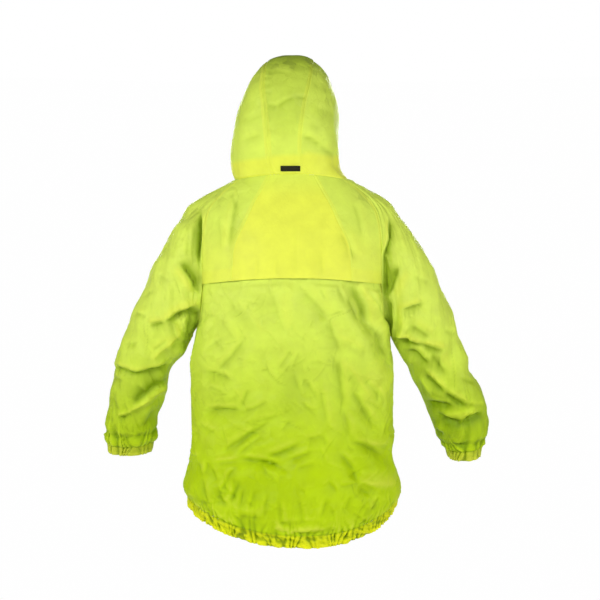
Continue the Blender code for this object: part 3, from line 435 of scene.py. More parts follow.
# The large folds, as the solids have them. columns: x0, z0, x1, z1, depth, width
BACK_FOLDS = (
    (-126, -219, -162, -299, 14, 20),
    (-162, -299, -212, -383, 11, 19),
    (-17, -228, -76, -293, 7, 20),
    (-76, -293, -101, -358, 8, 19),
    (-93, -379, -112, -480, 8, 19),
    (-112, -480, -116, -539, 7, 18),
    (196, -409, 131, -421, 8, 19),
    (166, -405, 105, -333, 7, 18),
    (192, -493, 110, -487, 10, 19),
    (110, -480, 91, -445, 6, 17),
    (141, -575, 34, -504, 8, 19),
    (101, -592, 19, -603, 10, 18),
    (51, -584, -15, -560, 6, 17),
    (-126, -554, -200, -584, 10, 19),
    (-131, -449, -177, -518, 9, 19),
    (-110, -575, -137, -611, 8, 17),
    (-141, -611, -150, -650, 6, 17),
    (150, -630, 110, -680, 7, 18),
    (60, -640, 66, -700, 6, 18),
    (-40, -630, -30, -700, 6, 18),
)
FRONT_FOLDS = (
    (150, -300, 60, -380, 9, 20),
    (-148, -310, -70, -400, 10, 20),
    (190, -420, 80, -455, 9, 20),
    (-195, -400, -100, -440, 8, 19),
    (170, -520, 60, -590, 8, 20),
    (-180, -505, -60, -560, 9, 20),
    (120, -190, 60, -250, 6, 19),
    (-110, -200, -55, -270, 7, 19),
    (-130, -600, -110, -650, 6, 18),
    (120, -590, 135, -645, 6, 18),
)
# Folds across a sleeve. columns: at, turn, tilt, spread, depth, width
SLEEVE_FOLDS = {
    "left": (
        (3.6, 120, 1.2, 60, 10, 0.6),
        (5.0, 150, -0.8, 75, 8, 0.45),
        (6.55, 80, 0.3, 110, 10, 0.45),
        (7.6, 130, -1.4, 70, 8, 0.5),
        (8.9, 20, 0.5, 80, 7, 0.5),
        (10.6, 100, 0.4, 100, 6, 0.55),
        (5.7, -110, 0.6, 80, 8, 0.5),
        (7.4, -80, -0.5, 90, 7, 0.5),
        (9.6, -120, 0.5, 80, 6, 0.55),
    ),
    "right": (
        (2.4, 130, 1.2, 55, 11, 0.6),
        (4.5, 140, -0.9, 60, 9, 0.45),
        (5.9, 100, -0.5, 90, 11, 0.45),
        (7.3, 60, 1.1, 90, 8, 0.45),
        (8.6, 10, -0.4, 90, 8, 0.5),
        (10.3, 90, -0.5, 100, 7, 0.55),
        (5.6, -110, -0.6, 80, 8, 0.5),
        (7.7, -70, 0.5, 90, 7, 0.5),
        (9.7, -130, -0.5, 80, 6, 0.55),
    ),
}
FOLD_SHARE = 0.6                # of the solid's soft folds; the crisp creases below add the rest
CRISP_SHARE = 1.15              # of the crisp creases' depths in the tables
STEEP = 0.36                    # a crease's reach above and below its line, of its width
GENTLE = 1.15

# Creases with a crisp bottom, or a crisp top where the depth is below 0. A width below 0 turns the steep
# side down. bow: how far the middle of the line swings aside. columns: x0, z0, x1, z1, depth, width, bow
BACK_CREASES = (
    (193, -409, 126, -424, 3.6, 6, 3),
    (164, -408, 101, -338, 3.0, 7, -4),
    (190, -492, 108, -487, 4.2, 6, 2),
    (108, -482, 92, -445, 2.6, 5, 0),
    (106, -491, 50, -467, 2.6, 5, -4),
    (84, -514, 24, -498, 2.0, 5, 0),
    (144, -576, 79, -529, 3.2, 6, 2),
    (126, -570, 46, -511, 2.6, 5, 3),
    (112, -580, 61, -540, 2.2, 5, 0),
    (21, -532, 3, -507, 1.6, 5, 0),
    (54, -585, -15, -558, 4.4, 7, -3),
    (6, -592, -41, -576, 3.0, 6, 0),
    (108, -590, 21, -603, 5.2, 6, 3),
    (162, -594, 112, -588, -3.2, 6, 0),
    (-30, -550, -66, -541, 2.2, 5, 0),
    (-66, -541, -73, -561, 1.6, 5, 0),
    (-19, -235, -77, -300, 2.5, 11, 4),
    (-77, -300, -102, -365, 3.0, 9, 0),
    (-93, -380, -108, -481, 3.6, 8, 3),
    (-110, -485, -122, -547, 2.6, 7, 0),
    (-131, -220, -168, -300, 5.0, 12, 0),
    (-168, -300, -215, -380, 4.2, 11, 0),
    (-150, -224, -182, -322, -3.0, 9, 0),
    (-160, -228, -193, -286, 2.4, 6, 0),
    (-128, -445, -178, -521, 4.2, 7, 0),
    (-110, -383, -168, -463, -2.6, 8, 0),
    (-128, -554, -197, -587, 4.6, 6, 3),
    (-164, -561, -211, -565, -2.2, 5, 0),
    (-102, -579, -137, -616, 3.6, 6, 0),
    (-135, -616, -139, -641, 3.0, 6, 0),
    (-77, -637, -95, -659, 2.2, 5, 0),
    (-142, -652, -164, -666, 2.6, 5, 0),
    (-99, -648, -142, -643, 2.0, 5, 0),
    (-146, -645, -228, -652, -3.4, 10, 0),
    (3, -365, 28, -402, 1.8, 5, 0),
    (-15, -365, -1, -402, 1.6, 5, 0),
    (-4, -409, -15, -445, 1.6, 5, 0),
    (-26, -423, -55, -467, 1.8, 5, 2),
    (-37, -387, -66, -387, 1.4, 5, 0),
    (32, -409, 14, -414, 1.2, 4, 0),
    (88, -260, 95, -278, 1.4, 4, 0),
    (61, -296, 61, -311, 1.2, 4, 0),
    (177, -358, 148, -336, 1.8, 5, 0),
    (152, -663, 115, -608, 2.8, 5, 3),
    (133, -681, 108, -637, 2.4, 5, 0),
    (92, -700, 78, -655, 2.2, 5, -2),
    (58, -712, 50, -660, 2.0, 5, 0),
    (18, -722, 25, -672, 2.2, 5, 2),
    (-24, -724, -18, -680, 1.8, 5, 0),
    (-60, -714, -74, -672, 2.2, 5, 0),
    (-112, -702, -124, -668, 2.2, 5, 2),
    (-170, -700, -186, -672, 2.0, 5, 0),
    (178, -668, 190, -636, 2.2, 5, 0),
    (120, -250, 60, -330, -1.6, 12, 6),
    (40, -240, 10, -330, 1.4, 11, -4),
    (38, -731, 4, -741, -3.6, 5, 0),
    (4, -741, -72, -735, -3.8, 6, 0),
    (30, -724, -60, -722, 2.0, 5, 2),
    (110, -708, 60, -716, 3.2, 10, 0),
    (157, -646, 136, -693, 3.0, 6, -3),
    (120, -627, 129, -684, 2.8, 6, 3),
    (186, -629, 177, -602, 2.4, 5, 0),
    (158, -665, 145, -684, 2.4, 4, 0),
    (148, -646, 120, -671, 2.4, 5, 0),
    (190, -650, 176, -690, 2.4, 5, 0),
    (100, -650, 112, -700, 2.2, 5, 0),
    (170, -610, 160, -640, 2.2, 5, 0),
    (200, -600, 190, -632, 2.0, 5, 0),
    (-145, -643, -179, -658, 2.8, 5, 0),
    (-100, -330, -150, -360, -1.8, 8, 0),
    (-120, -250, -140, -300, 3.0, 8, 0),
    (-96, -226, -112, -262, 2.4, 6, 0),
    (-60, -232, -72, -256, 1.8, 5, 0),
    (150, -300, 120, -340, 1.4, 8, 0),
    (176, -440, 140, -452, 2.0, 5, 0),
    (198, -520, 160, -540, 2.2, 6, 0),
    (-150, -420, -196, -470, 2.4, 6, 0),
    (-60, -440, -74, -520, 1.8, 6, 0),
    (-20, -470, -52, -500, 1.8, 5, 0),
    (60, -610, 30, -640, 1.8, 6, 0),
    (-10, -610, -50, -600, 1.8, 5, 0),
)
# Patches of painted shade on the back, and of painted light where 'amount' is below 0, which stand in for
# the layers behind them and for the light.
# columns: x, z, half_width, half_height, turn in degrees, amount
BACK_PAINTED_PATCHES = (
    (-4, -450, 30, 66, 8, 0.26),
    (-185, -424, 32, 54, 15, -0.24),
    (9, -262, 14, 62, 4, -0.16),
    (89, -271, 44, 34, 0, 0.18),
    (55, -654, 62, 30, 0, 0.16),
    (-206, -654, 36, 24, -20, -0.20),
    (-163, -599, 46, 18, 20, 0.15),
    (182, -536, 38, 30, 0, -0.14),
    (150, -690, 40, 16, -25, -0.16),
    (100, -738, 52, 15, -12, 0.34),
    (55, -776, 34, 20, 0, 0.50),
    (-96, -500, 26, 50, -10, -0.12),
)
YOKE_CREASES = (
    (114, -26, 132, -146, 3.4, 7, -3),
    (130, -20, 119, -56, 2.2, 5, 0),
    (-107, -107, -136, -171, 2.6, 9, 0),
    (-18, -94, -18, -210, -0.8, 6, 0),
    (72, -165, 72, -204, 0.8, 4, 0),
    (-132, -48, -150, -120, 1.6, 8, 3),
    (158, -70, 150, -150, 1.4, 7, 0),
    (-60, -150, -66, -206, 0.9, 5, 0),
    (30, -170, 34, -206, 0.8, 4, 0),
)
HOOD_CREASES = (
    (51, 159, 31, 154, 1.8, 5, 0),
    (31, 154, -8, 176, 2.0, 5, 2),
    (-8, 176, -37, 176, 1.8, 5, 0),
    (41, 241, -2, 231, -1.4, 6, 0),
    (-22, 94, -63, 73, 3.2, 6, 3),
    (-63, 73, -92, 57, 2.6, 6, 0),
    (58, 238, 40, 229, 1.2, 3, 0),
    (60, 222, 42, 218, 1.1, 3, 0),
    (60, 206, 44, 202, 1.0, 3, 0),
    (58, 188, 43, 186, 0.9, 3, 0),
    (-38, 120, -60, 112, 1.4, 5, 0),
    (-48, 150, -96, 140, 1.1, 7, 3),
    (66, 96, 104, 84, 1.6, 7, 0),
    (62, 140, 108, 128, 1.2, 8, 2),
    (-44, 214, -84, 190, 1.2, 6, 0),
    (-34, 250, -52, 236, 1.0, 4, 0),
)
FRONT_CREASES = (
    (150, -300, 60, -380, 3.0, 8, 4),
    (-148, -310, -70, -400, 3.2, 8, -4),
    (190, -420, 80, -455, 3.6, 7, 3),
    (-195, -400, -100, -440, 3.4, 7, 0),
    (170, -520, 60, -590, 3.2, 7, 4),
    (-180, -505, -60, -560, 3.6, 7, -3),
    (120, -190, 60, -250, 2.4, 9, 0),
    (-110, -200, -55, -270, 2.6, 9, 0),
    (130, -560, 60, -540, 2.2, 5, 0),
    (-60, -470, -20, -500, 2.0, 5, 0),
    (40, -330, 24, -420, 1.6, 6, 0),
    (-34, -300, -24, -380, 1.6, 6, 0),
    (90, -610, 70, -645, 2.2, 5, 0),
    (-90, -600, -70, -640, 2.2, 5, 0),
    (200, -480, 120, -500, 2.6, 6, 0),
    (-205, -550, -130, -590, 3.0, 6, 0),
    (152, -645, 140, -600, 2.2, 5, 0),
    (-152, -650, -142, -605, 2.2, 5, 0),
    (34, -560, 20, -600, 1.6, 5, 0),
    (-44, -620, -26, -590, 1.6, 5, 0),
    (100, -130, 70, -180, 1.6, 7, 0),
    (-96, -140, -70, -190, 1.6, 7, 0),
    (150, -340, 196, -300, 3.0, 9, 0),
    (-150, -345, -196, -305, 3.0, 9, 0),
)
SLEEVE_CREASES = {
    "left": (
        (198.5, -62, 197.5, -178, 12.0, 6, 0),
        (210, -96, 214, -150, 2.6, 5, 0),
        (222, -110, 226, -160, 1.8, 5, 0),
        (241, -174, 199, -233, 11.0, -10, 2),
        (214, -219, 198, -238, 4.0, 7, 0),
        (312, -303, 273, -295, -3.6, 7, 0),
        (273, -295, 196, -257, -5.4, 8, 3),
        (306, -311, 278, -305, 4.2, 6, 0),
        (276, -305, 204, -268, 6.0, 8, 2),
        (222, -280, 199, -284, 7.0, 10, 0),
        (216, -292, 236, -366, 5.0, 16, 0),
        (268, -356, 236, -318, -3.0, 6, 0),
        (262, -300, 246, -350, 2.6, 6, 0),
        (307, -389, 255, -336, -3.4, 8, 0),
        (300, -368, 270, -340, 2.4, 5, 0),
        (388, -400, 343, -415, 6.6, 6, 0),
        (345, -416, 267, -398, 7.2, 7, -2),
        (356, -414, 330, -416, 4.0, 5, 0),
        (399, -424, 372, -434, 2.6, 6, 0),
        (362, -505, 276, -444, -5.2, 7, 0),
        (352, -486, 276, -430, 8.5, -13, 2),
        (384, -508, 356, -502, -3.2, 6, 0),
        (384, -514, 366, -516, 4.0, 5, 0),
        (372, -480, 352, -520, 1.8, 4, 0),
        (340, -440, 318, -470, 2.2, 5, 0),
        (396, -470, 380, -500, 2.0, 6, 0),
        (330, -540, 306, -500, 3.0, 8, 0),
        (345, -284, 315, -290, 3.0, 6, 0),
        (398, -405, 378, -403, 3.4, 5, 0),
        (330, -250, 296, -236, 1.8, 6, 2),
        (290, -200, 262, -216, 1.6, 6, 0),
        (366, -352, 338, -348, 2.2, 6, 0),
    ),
    "right": (
        (-212, -80, -211, -130, 9.0, 5, 0),
        (-211, -124, -199.5, -158, 9.0, 5, 0),
        (-198.5, -148, -198.5, -256, 11.0, 7, 0),
        (-230, -184, -205, -246, 9.0, -12, 0),
        (-212, -250, -216, -322, 6.0, 13, 0),
        (-237, -276, -282, -262, 4.6, 6, 0),
        (-233, -272, -282, -256, -3.0, 6, 0),
        (-242, -280, -246, -296, 2.2, 4, 0),
        (-252, -280, -255, -296, 2.0, 4, 0),
        (-262, -277, -264, -290, 1.6, 4, 0),
        (-254, -310, -300, -338, 4.4, 10, 0),
        (-224, -327, -281, -346, -4.6, 7, 0),
        (-281, -346, -332, -356, -4.0, 7, 0),
        (-225, -338, -281, -357, 6.0, 7, 0),
        (-281, -357, -330, -366, 5.0, 7, 0),
        (-251, -362, -298, -394, 6.4, 8, 2),
        (-300, -368, -336, -420, 4.6, 13, 0),
        (-318, -372, -322, -412, 1.8, 5, 0),
        (-292, -405, -338, -448, -4.6, 7, 0),
        (-338, -448, -385, -478, -5.0, 7, 0),
        (-385, -478, -424, -486, -3.6, 7, 0),
        (-290, -417, -334, -460, 5.0, 7, 0),
        (-334, -460, -384, -489, 6.0, 7, 0),
        (-298, -478, -352, -488, 8.0, 8, 0),
        (-306, -462, -340, -472, 3.0, 6, 0),
        (-320, -506, -352, -524, 4.0, 7, 0),
        (-330, -521, -376, -530, 9.0, 9, 2),
        (-374, -530, -424, -506, 9.0, 9, 3),
        (-340, -508, -410, -502, -4.0, 10, 0),
        (-316, -542, -336, -556, 5.0, 6, 0),
        (-300, -220, -262, -204, 1.8, 7, 0),
        (-404, -438, -372, -428, 2.6, 5, 0),
        (-360, -330, -334, -322, 2.6, 6, 0),
        (-280, -424, -306, -462, -3.4, 6, 0),
    ),
}
# The same on the hidden side of both sleeves, for the left one.
SLEEVE_FRONT_CREASES = (
    (240, -160, 208, -230, 4.0, 9, 0),
    (300, -280, 220, -250, 3.2, 7, 0),
    (330, -330, 262, -350, 4.0, 7, 4),
    (370, -400, 285, -420, 4.6, 7, -3),
    (380, -450, 310, -470, 3.0, 6, 0),
    (400, -505, 320, -500, 3.4, 6, 3),
    (300, -220, 270, -190, 2.0, 6, 0),
    (396, -535, 325, -545, 3.0, 8, 0),
    (350, -380, 300, -372, 2.0, 5, 0),
    (300, -300, 262, -320, -2.4, 8, 0),
)
# Small creases strewn over each kind of piece, and its crumple. columns: how many in a square decimetre,
# shortest and longest, shallowest and deepest, narrowest and widest, mean angle and its spread in
# degrees, height of the crumple's facets
STREWN = {
    "back": (16.0, 12, 70, 0.35, 2.4, 1.4, 3.2, 150, 45, 3.2),
    "yoke": (2.5, 16, 70, 0.15, 0.6, 2.0, 4.6, 80, 30, 0.7),
    "front": (9.0, 12, 64, 0.35, 2.2, 1.7, 3.8, 30, 50, 2.9),
    "sleeve": (11.0, 12, 64, 0.35, 2.4, 1.7, 3.8, 20, 40, 3.2),
    "hood": (4.0, 14, 54, 0.2, 1.0, 1.9, 4.2, 20, 50, 1.7),
    "gathered": (20.0, 9, 34, 0.8, 3.4, 1.8, 3.4, 78, 34, 0.0),
}
GATHERED_ZONE = 120.0           # how far from an elastic the gathered kind is strewn
SQUARE_DECIMETRE = 1e4
SUNK_SHARE = 0.6                # of the strewn creases; the others are raised by RAISED of their depth
RAISED = 0.7
LATTICE = 64                    # corners each way before the crumple's facets repeat
FACETS = ((54, 1.0), (27, 0.5), (13, 0.22))     # size and share of height of the crumple's facets
DEEPEST_SHADE_DEPTH = 7.0              # a crease this deep has the deepest painted shade in its colour


def places(draft, spacing, axis, low, high):
    """Fractional numbers of a draft grid's lines along an axis: evenly spaced by their mean length, with
    the SEAM_LINES at its first line if 'low', and at its last line if 'high'."""
    steps = np.linalg.norm(np.diff(draft, axis=axis), axis=-1).mean(axis=1 - axis)
    run = np.concatenate([[0], np.cumsum(steps)])
    near = np.array(SEAM_LINES)
    start = near[-1] if low else 0
    end = run[-1] - near[-1] if high else run[-1]
    lines = [np.linspace(start, end, max(int(round((end - start) / spacing)), 1) + 1)]
    if low:
        lines += [[0], near[:-1]]
    if high:
        lines += [[run[-1]], run[-1] - near[:-1]]
    return np.interp(np.sort(np.concatenate(lines)), run, np.arange(len(run)))


def sampled(surface, rows, columns, kind, seams, keep=()):
    """The surface on lines as far apart as a kind has them, closer beside the named seams. 'keep' holds
    column values that one of the lines has to take."""
    rows, columns = np.linspace(*rows, DRAFT_LINES), np.linspace(*columns, DRAFT_LINES)
    draft, numbers = surface(rows, columns), np.arange(DRAFT_LINES)
    up, across = SPACING[kind]
    at = np.interp(places(draft, up, 0, "low" in seams, "high" in seams), numbers, rows)
    across = np.interp(places(draft, across, 1, "left" in seams, "right" in seams), numbers, columns)
    for value in keep:
        across[np.argmin(np.abs(across - value))] = value
    return surface(at, across), at, across


def crease(x, z, line):
    """Depth of one crease at distance d from its bowed line: depth exp(-d/(STEEP width)) on its upper
    side and exp(-d/(GENTLE width)) below, with a soft ridge above it, tapering to its ends. A raised one
    is the other way up, and so is one whose width is below 0."""
    x0, z0, x1, z1, depth, width, bow = line
    length = math.hypot(x1 - x0, z1 - z0)
    on_x, on_z = (x1 - x0) / length, (z1 - z0) / length
    part = ((x - x0) * on_x + (z - z0) * on_z) / length
    beside = (x - x0) * on_z - (z - z0) * on_x - bow * 4 * part * (1 - part)
    beside = beside * (1 if on_x * depth * width >= 0 else -1)
    width = abs(width)
    taper = np.exp(-(np.maximum(np.abs(2 * part - 1) - 0.5, 0) / 0.38) ** 2)
    off = np.sqrt(beside ** 2 + 0.5) - 0.7
    ridge = 0.4 * np.exp(-((beside + 1.5 * width) / (0.9 * width)) ** 2)
    return depth * taper * (np.exp(-off / (np.where(beside > 0, GENTLE, STEEP) * width)) - ridge)


def creased(x, z, table):
    """The depth of all of a table's creases at x, z."""
    return CRISP_SHARE * sum(crease(x, z, line) for line in table)


def painted_patch_amount(x, z, table):
    """How much painted shade the cloth has at x, z, painted light where below 0: the sum of amount
    exp(-r^4) over the table's patches, where r is the distance from a turned ellipse's middle, in its own
    half sizes."""
    total = 0
    for middle_x, middle_z, half_width, half_height, turn, amount in table:
        turn = math.radians(turn)
        across = (x - middle_x) * math.cos(turn) + (z - middle_z) * math.sin(turn)
        up = (z - middle_z) * math.cos(turn) - (x - middle_x) * math.sin(turn)
        total = total + amount * np.exp(-((across / half_width) ** 2 + (up / half_height) ** 2) ** 2)
    return total


def folded(x, z, table):
    """The depth of the solid's folds at x, z: soft troughs with a lower ridge on either side."""
    depth = np.zeros(np.broadcast(x, z).shape)
    for x0, z0, x1, z1, fold_depth, width in table:
        length = math.hypot(x1 - x0, z1 - z0)
        on_x, on_z = (x1 - x0) / length, (z1 - z0) / length
        beyond = np.abs((x - x0) * on_x + (z - z0) * on_z - length / 2) - length / 2
        beside = (x - x0) * on_z - (z - z0) * on_x
        distance = np.hypot(np.maximum(beyond, 0), beside)
        depth += fold_depth * (np.exp(-(distance / width) ** 2)
                               - 0.45 * np.exp(-((distance - 1.9 * width) / width) ** 2))
    return depth


def strewn(u, v, kind, seed):
    """Small creases of a kind, strewn by a seeded generator over the piece's own lengths u and v."""
    density, short, long, shallow, deep, narrow, wide, angle, spread, _ = STREWN[kind]
    draw = np.random.default_rng(seed)
    flat_u, flat_v = u.ravel(), v.ravel()
    total = np.zeros(flat_u.shape)
    width_u, width_v = np.ptp(flat_u), np.ptp(flat_v)
    for _ in range(int(density * width_u * width_v / SQUARE_DECIMETRE)):
        centre = flat_u.min() + draw.random() * width_u, flat_v.min() + draw.random() * width_v
        length = short + (long - short) * draw.random() ** 2
        turn = math.radians(draw.normal(angle, spread))
        depth = shallow + (deep - shallow) * draw.random() ** 2
        depth = depth * (1 if draw.random() < SUNK_SHARE else -RAISED)
        width = narrow + (wide - narrow) * draw.random()
        bow = draw.normal(0, 0.08) * length
        reach = length * 0.8 + 4 * width
        near = np.flatnonzero((np.abs(flat_u - centre[0]) < reach) & (np.abs(flat_v - centre[1]) < reach))
        half = math.cos(turn) * length / 2, math.sin(turn) * length / 2
        line = (centre[0] - half[0], centre[1] - half[1], centre[0] + half[0], centre[1] + half[1],
                depth, width, bow)
        total[near] += crease(flat_u[near], flat_v[near], line)
    return total.reshape(u.shape)


def faceted(u, v, size, draw):
    """Random heights from -1 to 1 at the corners of triangles 'size' across, flat in between, so that
    their edges are straight creases; the lattice is turned and pulled about by slow waves."""
    turn = draw.random() * math.pi
    pull = [0.3 * size * np.sin((u * math.cos(a) + v * math.sin(a)) / (0.9 * size) + b)
            for a, b in draw.random((2, 2)) * 6.28]
    x = (u + pull[0]) * math.cos(turn) + (v + pull[1]) * math.sin(turn)
    y = (v + pull[1]) * math.cos(turn) - (u + pull[0]) * math.sin(turn)
    a, b = (x - y / math.sqrt(3)) / size, 2 * y / math.sqrt(3) / size
    low_a, low_b = np.floor(a).astype(int), np.floor(b).astype(int)
    a, b = a - low_a, b - low_b
    heights = draw.random((LATTICE, LATTICE)) * 2 - 1
    corner, after_a, after_b, far = (heights[(low_a + step_a) % LATTICE, (low_b + step_b) % LATTICE]
                                     for step_a, step_b in ((0, 0), (1, 0), (0, 1), (1, 1)))
    first = corner + a * (after_a - corner) + b * (after_b - corner)
    second = far + (1 - a) * (after_b - far) + (1 - b) * (after_a - far)
    return np.where(a + b < 1, first, second)


def crumpled(u, v, kind, seed):
    """The crumple of a piece: facets of three sizes, stronger in some places than in others."""
    draw = np.random.default_rng(seed)
    strength = 0.75 + 0.35 * np.sin(u / 31.0 + seed) * np.sin(v / 37.0 + 2 * seed)
    return STREWN[kind][9] * strength * sum(share * faceted(u, v, size, draw) for size, share in FACETS)


def billowed(u, v, seed, height):
    """A slow unevenness: a sum of waves 50 to 120 mm long in seeded directions."""
    draw = np.random.default_rng(seed)
    total = np.zeros(u.shape)
    for _ in range(7):
        turn, size, start = draw.random() * math.pi, 50 + 70 * draw.random(), draw.random() * 6.3
        total += np.sin((u * math.cos(turn) + v * math.sin(turn)) * 6.28 / size + start)
    return total * height / 3


def gather_wave(s):
    """The gathers at length s along an elastic: rounded ridges about 12 mm apart and narrow valleys."""
    phase = 6.283 * s / 12.5 + 1.5 * np.sin(s / 11.3) + 1.1 * np.sin(s / 6.7 + 1)
    strength = 0.75 + 0.25 * np.sin(s / 17.0 + 2) + 0.2 * np.sin(s / 5.9)
    return strength * (2 * np.abs(np.sin(phase / 2)) ** 0.8 - 1.2)


def gather_reach(s):
    """How far up the panel each gather runs before it fades, 9 to 33 mm."""
    return 19 + 7 * np.sin(s / 14.0 + 0.6) + 5 * np.sin(s / 8.1 + 2)


def leaning(s, distance):
    """Lengths along an elastic, shifted with the distance from it, so that the gathers lean unevenly."""
    return s + distance * (0.35 * np.sin(s / 19.0) + 0.25 * np.sin(s / 7.3 + 1))


def distances(grid):
    """How far each point lies from the grid's low, high, left and right edge, along its lines."""
    up = np.linalg.norm(np.diff(grid, axis=0), axis=-1)
    up = np.concatenate([np.zeros((1, grid.shape[1])), np.cumsum(up, axis=0)])
    across = np.linalg.norm(np.diff(grid, axis=1), axis=-1)
    across = np.concatenate([np.zeros((grid.shape[0], 1)), np.cumsum(across, axis=1)], axis=1)
    return {"low": up, "high": up[-1:] - up, "left": across, "right": across[:, -1:] - across}


def seam_relief(away, edges):
    """Height beside seams: each edge dips by 0.6 exp(-(d/1.3)^2), or by 1.4 exp(-(d/2.4)^2) at an elastic,
    and on a lapped side ('over') the allowance raises the cloth 0.35 mm up to its edge, with a dent along
    the stitching. A turned hem ('hem') is 0.4 mm higher, with the same dent."""
    height = 0
    for edge, kind in edges.items():
        d = away[edge]
        dent = 0.3 * np.exp(-((d - STITCH_IN) / 0.9) ** 2)
        if kind in ("over", "under"):
            height = height - 0.6 * np.exp(-(d / 1.3) ** 2)
        if kind == "elastic":
            height = height - 1.4 * np.exp(-(d / 2.4) ** 2)
        if kind == "over":
            height = height + 0.35 * smooth((d - 1) / 1.2) * smooth((ALLOWANCE + 0.6 - d) / 1.2) - dent
        if kind == "hem":
            height = height + 0.4 * smooth((HEM_FOLD + 0.6 - d) / 1.2) - dent
    return height


# How wide the second layer beside each kind of edge is, and how strongly it shows.
EDGE_LAYERS = {"over": (ALLOWANCE, 0.42), "hem": (HEM_FOLD, 0.6), "under": (1.5, 0.4),
               "elastic": (0.0, 0.0)}


def layer_share(away, edges):
    """How much each point shows as double cloth: the strength of its edge's layer over the layer's width,
    which ends within 1.6 mm."""
    share = np.zeros(away["low"].shape)
    for edge, kind in edges.items():
        width, strength = EDGE_LAYERS[kind]
        share = np.maximum(share, strength * smooth((width + 0.8 - away[edge]) / 1.6))
    return share


# ---------------------------------------------------------------- meshes

def placed(name, data):
    """A new object of these data in the scene, at the origin."""
    item = bpy.data.objects.new(name, data)
    bpy.context.scene.collection.objects.link(item)
    return item


def add_piece(name, vertices, faces, material, uv=None, values=None, body="jacket"):
    """A mesh object of vertices in millimetres that rides on a body. uv (in mm) and the values, by the
    names of their attributes, are given for each vertex."""
    mesh = bpy.data.meshes.new(name)
    mesh.from_pydata((vertices * MM).tolist(), [], faces.tolist())
    if uv is not None:
        corners = np.empty(len(mesh.loops), np.int32)
        mesh.loops.foreach_get("vertex_index", corners)
        mesh.uv_layers.new(name="cloth").data.foreach_set("uv", (uv * MM)[corners].ravel())
        for attribute, shares in values.items():
            data = mesh.attributes.new(attribute, "FLOAT", "POINT").data
            data.foreach_set("value", shares.astype(np.float32))
    mesh.shade_smooth()
    mesh.set_sharp_from_angle(angle=math.radians(SHARP_ANGLE))
    mesh.materials.append(material)
    item = placed(name, mesh)
    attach(item, body)
    return item


def quads_of(numbers):
    """Quads between the rows and columns of a grid of vertex numbers."""
    corners = numbers[:-1, :-1], numbers[:-1, 1:], numbers[1:, 1:], numbers[1:, :-1]
    return np.stack(corners, -1).reshape(-1, 4)


def shell_faces(rows, columns):
    """Quads of a closed thin shell of two grids: its outer face, its inner face and the rim."""
    outer = np.arange(rows * columns).reshape(rows, columns)
    inner = outer + rows * columns
    faces = [quads_of(outer), quads_of(inner)[:, (0, 3, 2, 1)]]
    rims = ((outer[0, ::-1], inner[0, ::-1]), (outer[-1], inner[-1]),
            (outer[:, 0], inner[:, 0]), (outer[::-1, -1], inner[::-1, -1]))
    for near, far in rims:
        faces.append(np.stack([near[:-1], near[1:], far[1:], far[:-1]], -1))
    return np.concatenate(faces)


def cloth(name, grid, normals, edges, relief, node, double=0.0, wall=CLOTH_WALL, material=None):
    """A thin closed shell over the grid: its outer face stands CLOTH_OUT + relief + seam relief out
    along the normals, and its inner face 'wall' further in. relief may be a pair, of the height and the
    painted shading of each point, painted shade above 0 and a painted highlight below 0; an elastic's seam
    gets painted shade too. Returns its face for what is sewn on it."""
    relief, hollow = relief if isinstance(relief, tuple) else (relief, np.zeros(grid.shape[:2]))
    away = distances(grid)
    outer = grid + normals * (CLOTH_OUT + relief + seam_relief(away, edges))[..., None]
    inner = outer - normals * wall
    layers = np.maximum(layer_share(away, edges), double)
    for edge, kind in edges.items():
        if kind == "elastic":
            # painted shade along an elastic's seam
            hollow = hollow + 0.5 * np.exp(-(away[edge] / 3.5) ** 2)
    uv = np.stack([away["left"], away["low"]], -1).reshape(-1, 2)
    item = add_piece(name, np.concatenate([outer.reshape(-1, 3), inner.reshape(-1, 3)]),
                     shell_faces(*grid.shape[:2]), material or materials["shell_cloth"],
                     np.concatenate([uv, uv]),
                     {"layers": np.tile(layers.ravel(), 2), "hollow": np.tile(hollow.ravel(), 2)})
    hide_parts(node)
    return {"grid": outer, "normals": normals, "away": away}


def lengths_along(points):
    """How far along a line each of its points lies."""
    return np.concatenate([[0], np.cumsum(np.linalg.norm(np.diff(points, axis=0), axis=1))])


def interpolated(at, run, values):
    """The rows of values, which lie at the lengths 'run', at other lengths."""
    return np.stack([np.interp(at, run, column) for column in values.T], axis=-1)


def sewn_line(face, edge, inward):
    """Points and normals of a line at a distance inside one edge of a face."""
    away, both = face["away"][edge], np.concatenate([face["grid"], face["normals"]], axis=-1)
    if edge in ("low", "high"):
        away, both = away.T, np.swapaxes(both, 0, 1)
    order = slice(None) if edge in ("low", "left") else slice(None, None, -1)
    return np.array([interpolated(inward, distance, values)
                     for distance, values in zip(away[:, order], both[:, order])])


def repeated(shape, triangles, places, frames):
    """Copies of a small shape at places; frames holds each copy's three axes. Returns one mesh's vertices
    and triangles."""
    vertices = places[:, None] + np.einsum("ka,nab->nkb", shape, frames)
    numbers = np.arange(len(places))[:, None, None] * len(shape) + np.asarray(triangles)[None]
    return vertices.reshape(-1, 3), numbers.reshape(-1, 3)


def frames_along(line, pitch, start=0.0):
    """Places every 'pitch' mm along a line of points and normals, and their axes: ahead, aside, out."""
    run = lengths_along(line[:, :3])
    at = np.arange(start + pitch / 2, run[-1], pitch)
    values = interpolated(at, run, line)
    slope = np.gradient(line[:, :3], run + np.arange(len(run)) * 1e-6, axis=0)
    ahead = unit(interpolated(at, run, slope))
    aside = unit(np.cross(values[:, 3:], ahead))
    return values[:, :3], np.stack([ahead, aside, np.cross(ahead, aside)], axis=1)


STITCH_PITCH = 3.1
STITCH_SHAPE = np.array([(-1.05, 0, -0.15), (1.05, 0, -0.15), (0, 0.24, 0), (0, -0.24, 0), (0, 0, 0.26),
                         (0, 0, -0.2)])
STITCH_FACES = ((0, 3, 4), (3, 1, 4), (1, 2, 4), (2, 0, 4), (3, 0, 5), (1, 3, 5), (2, 1, 5), (0, 2, 5))


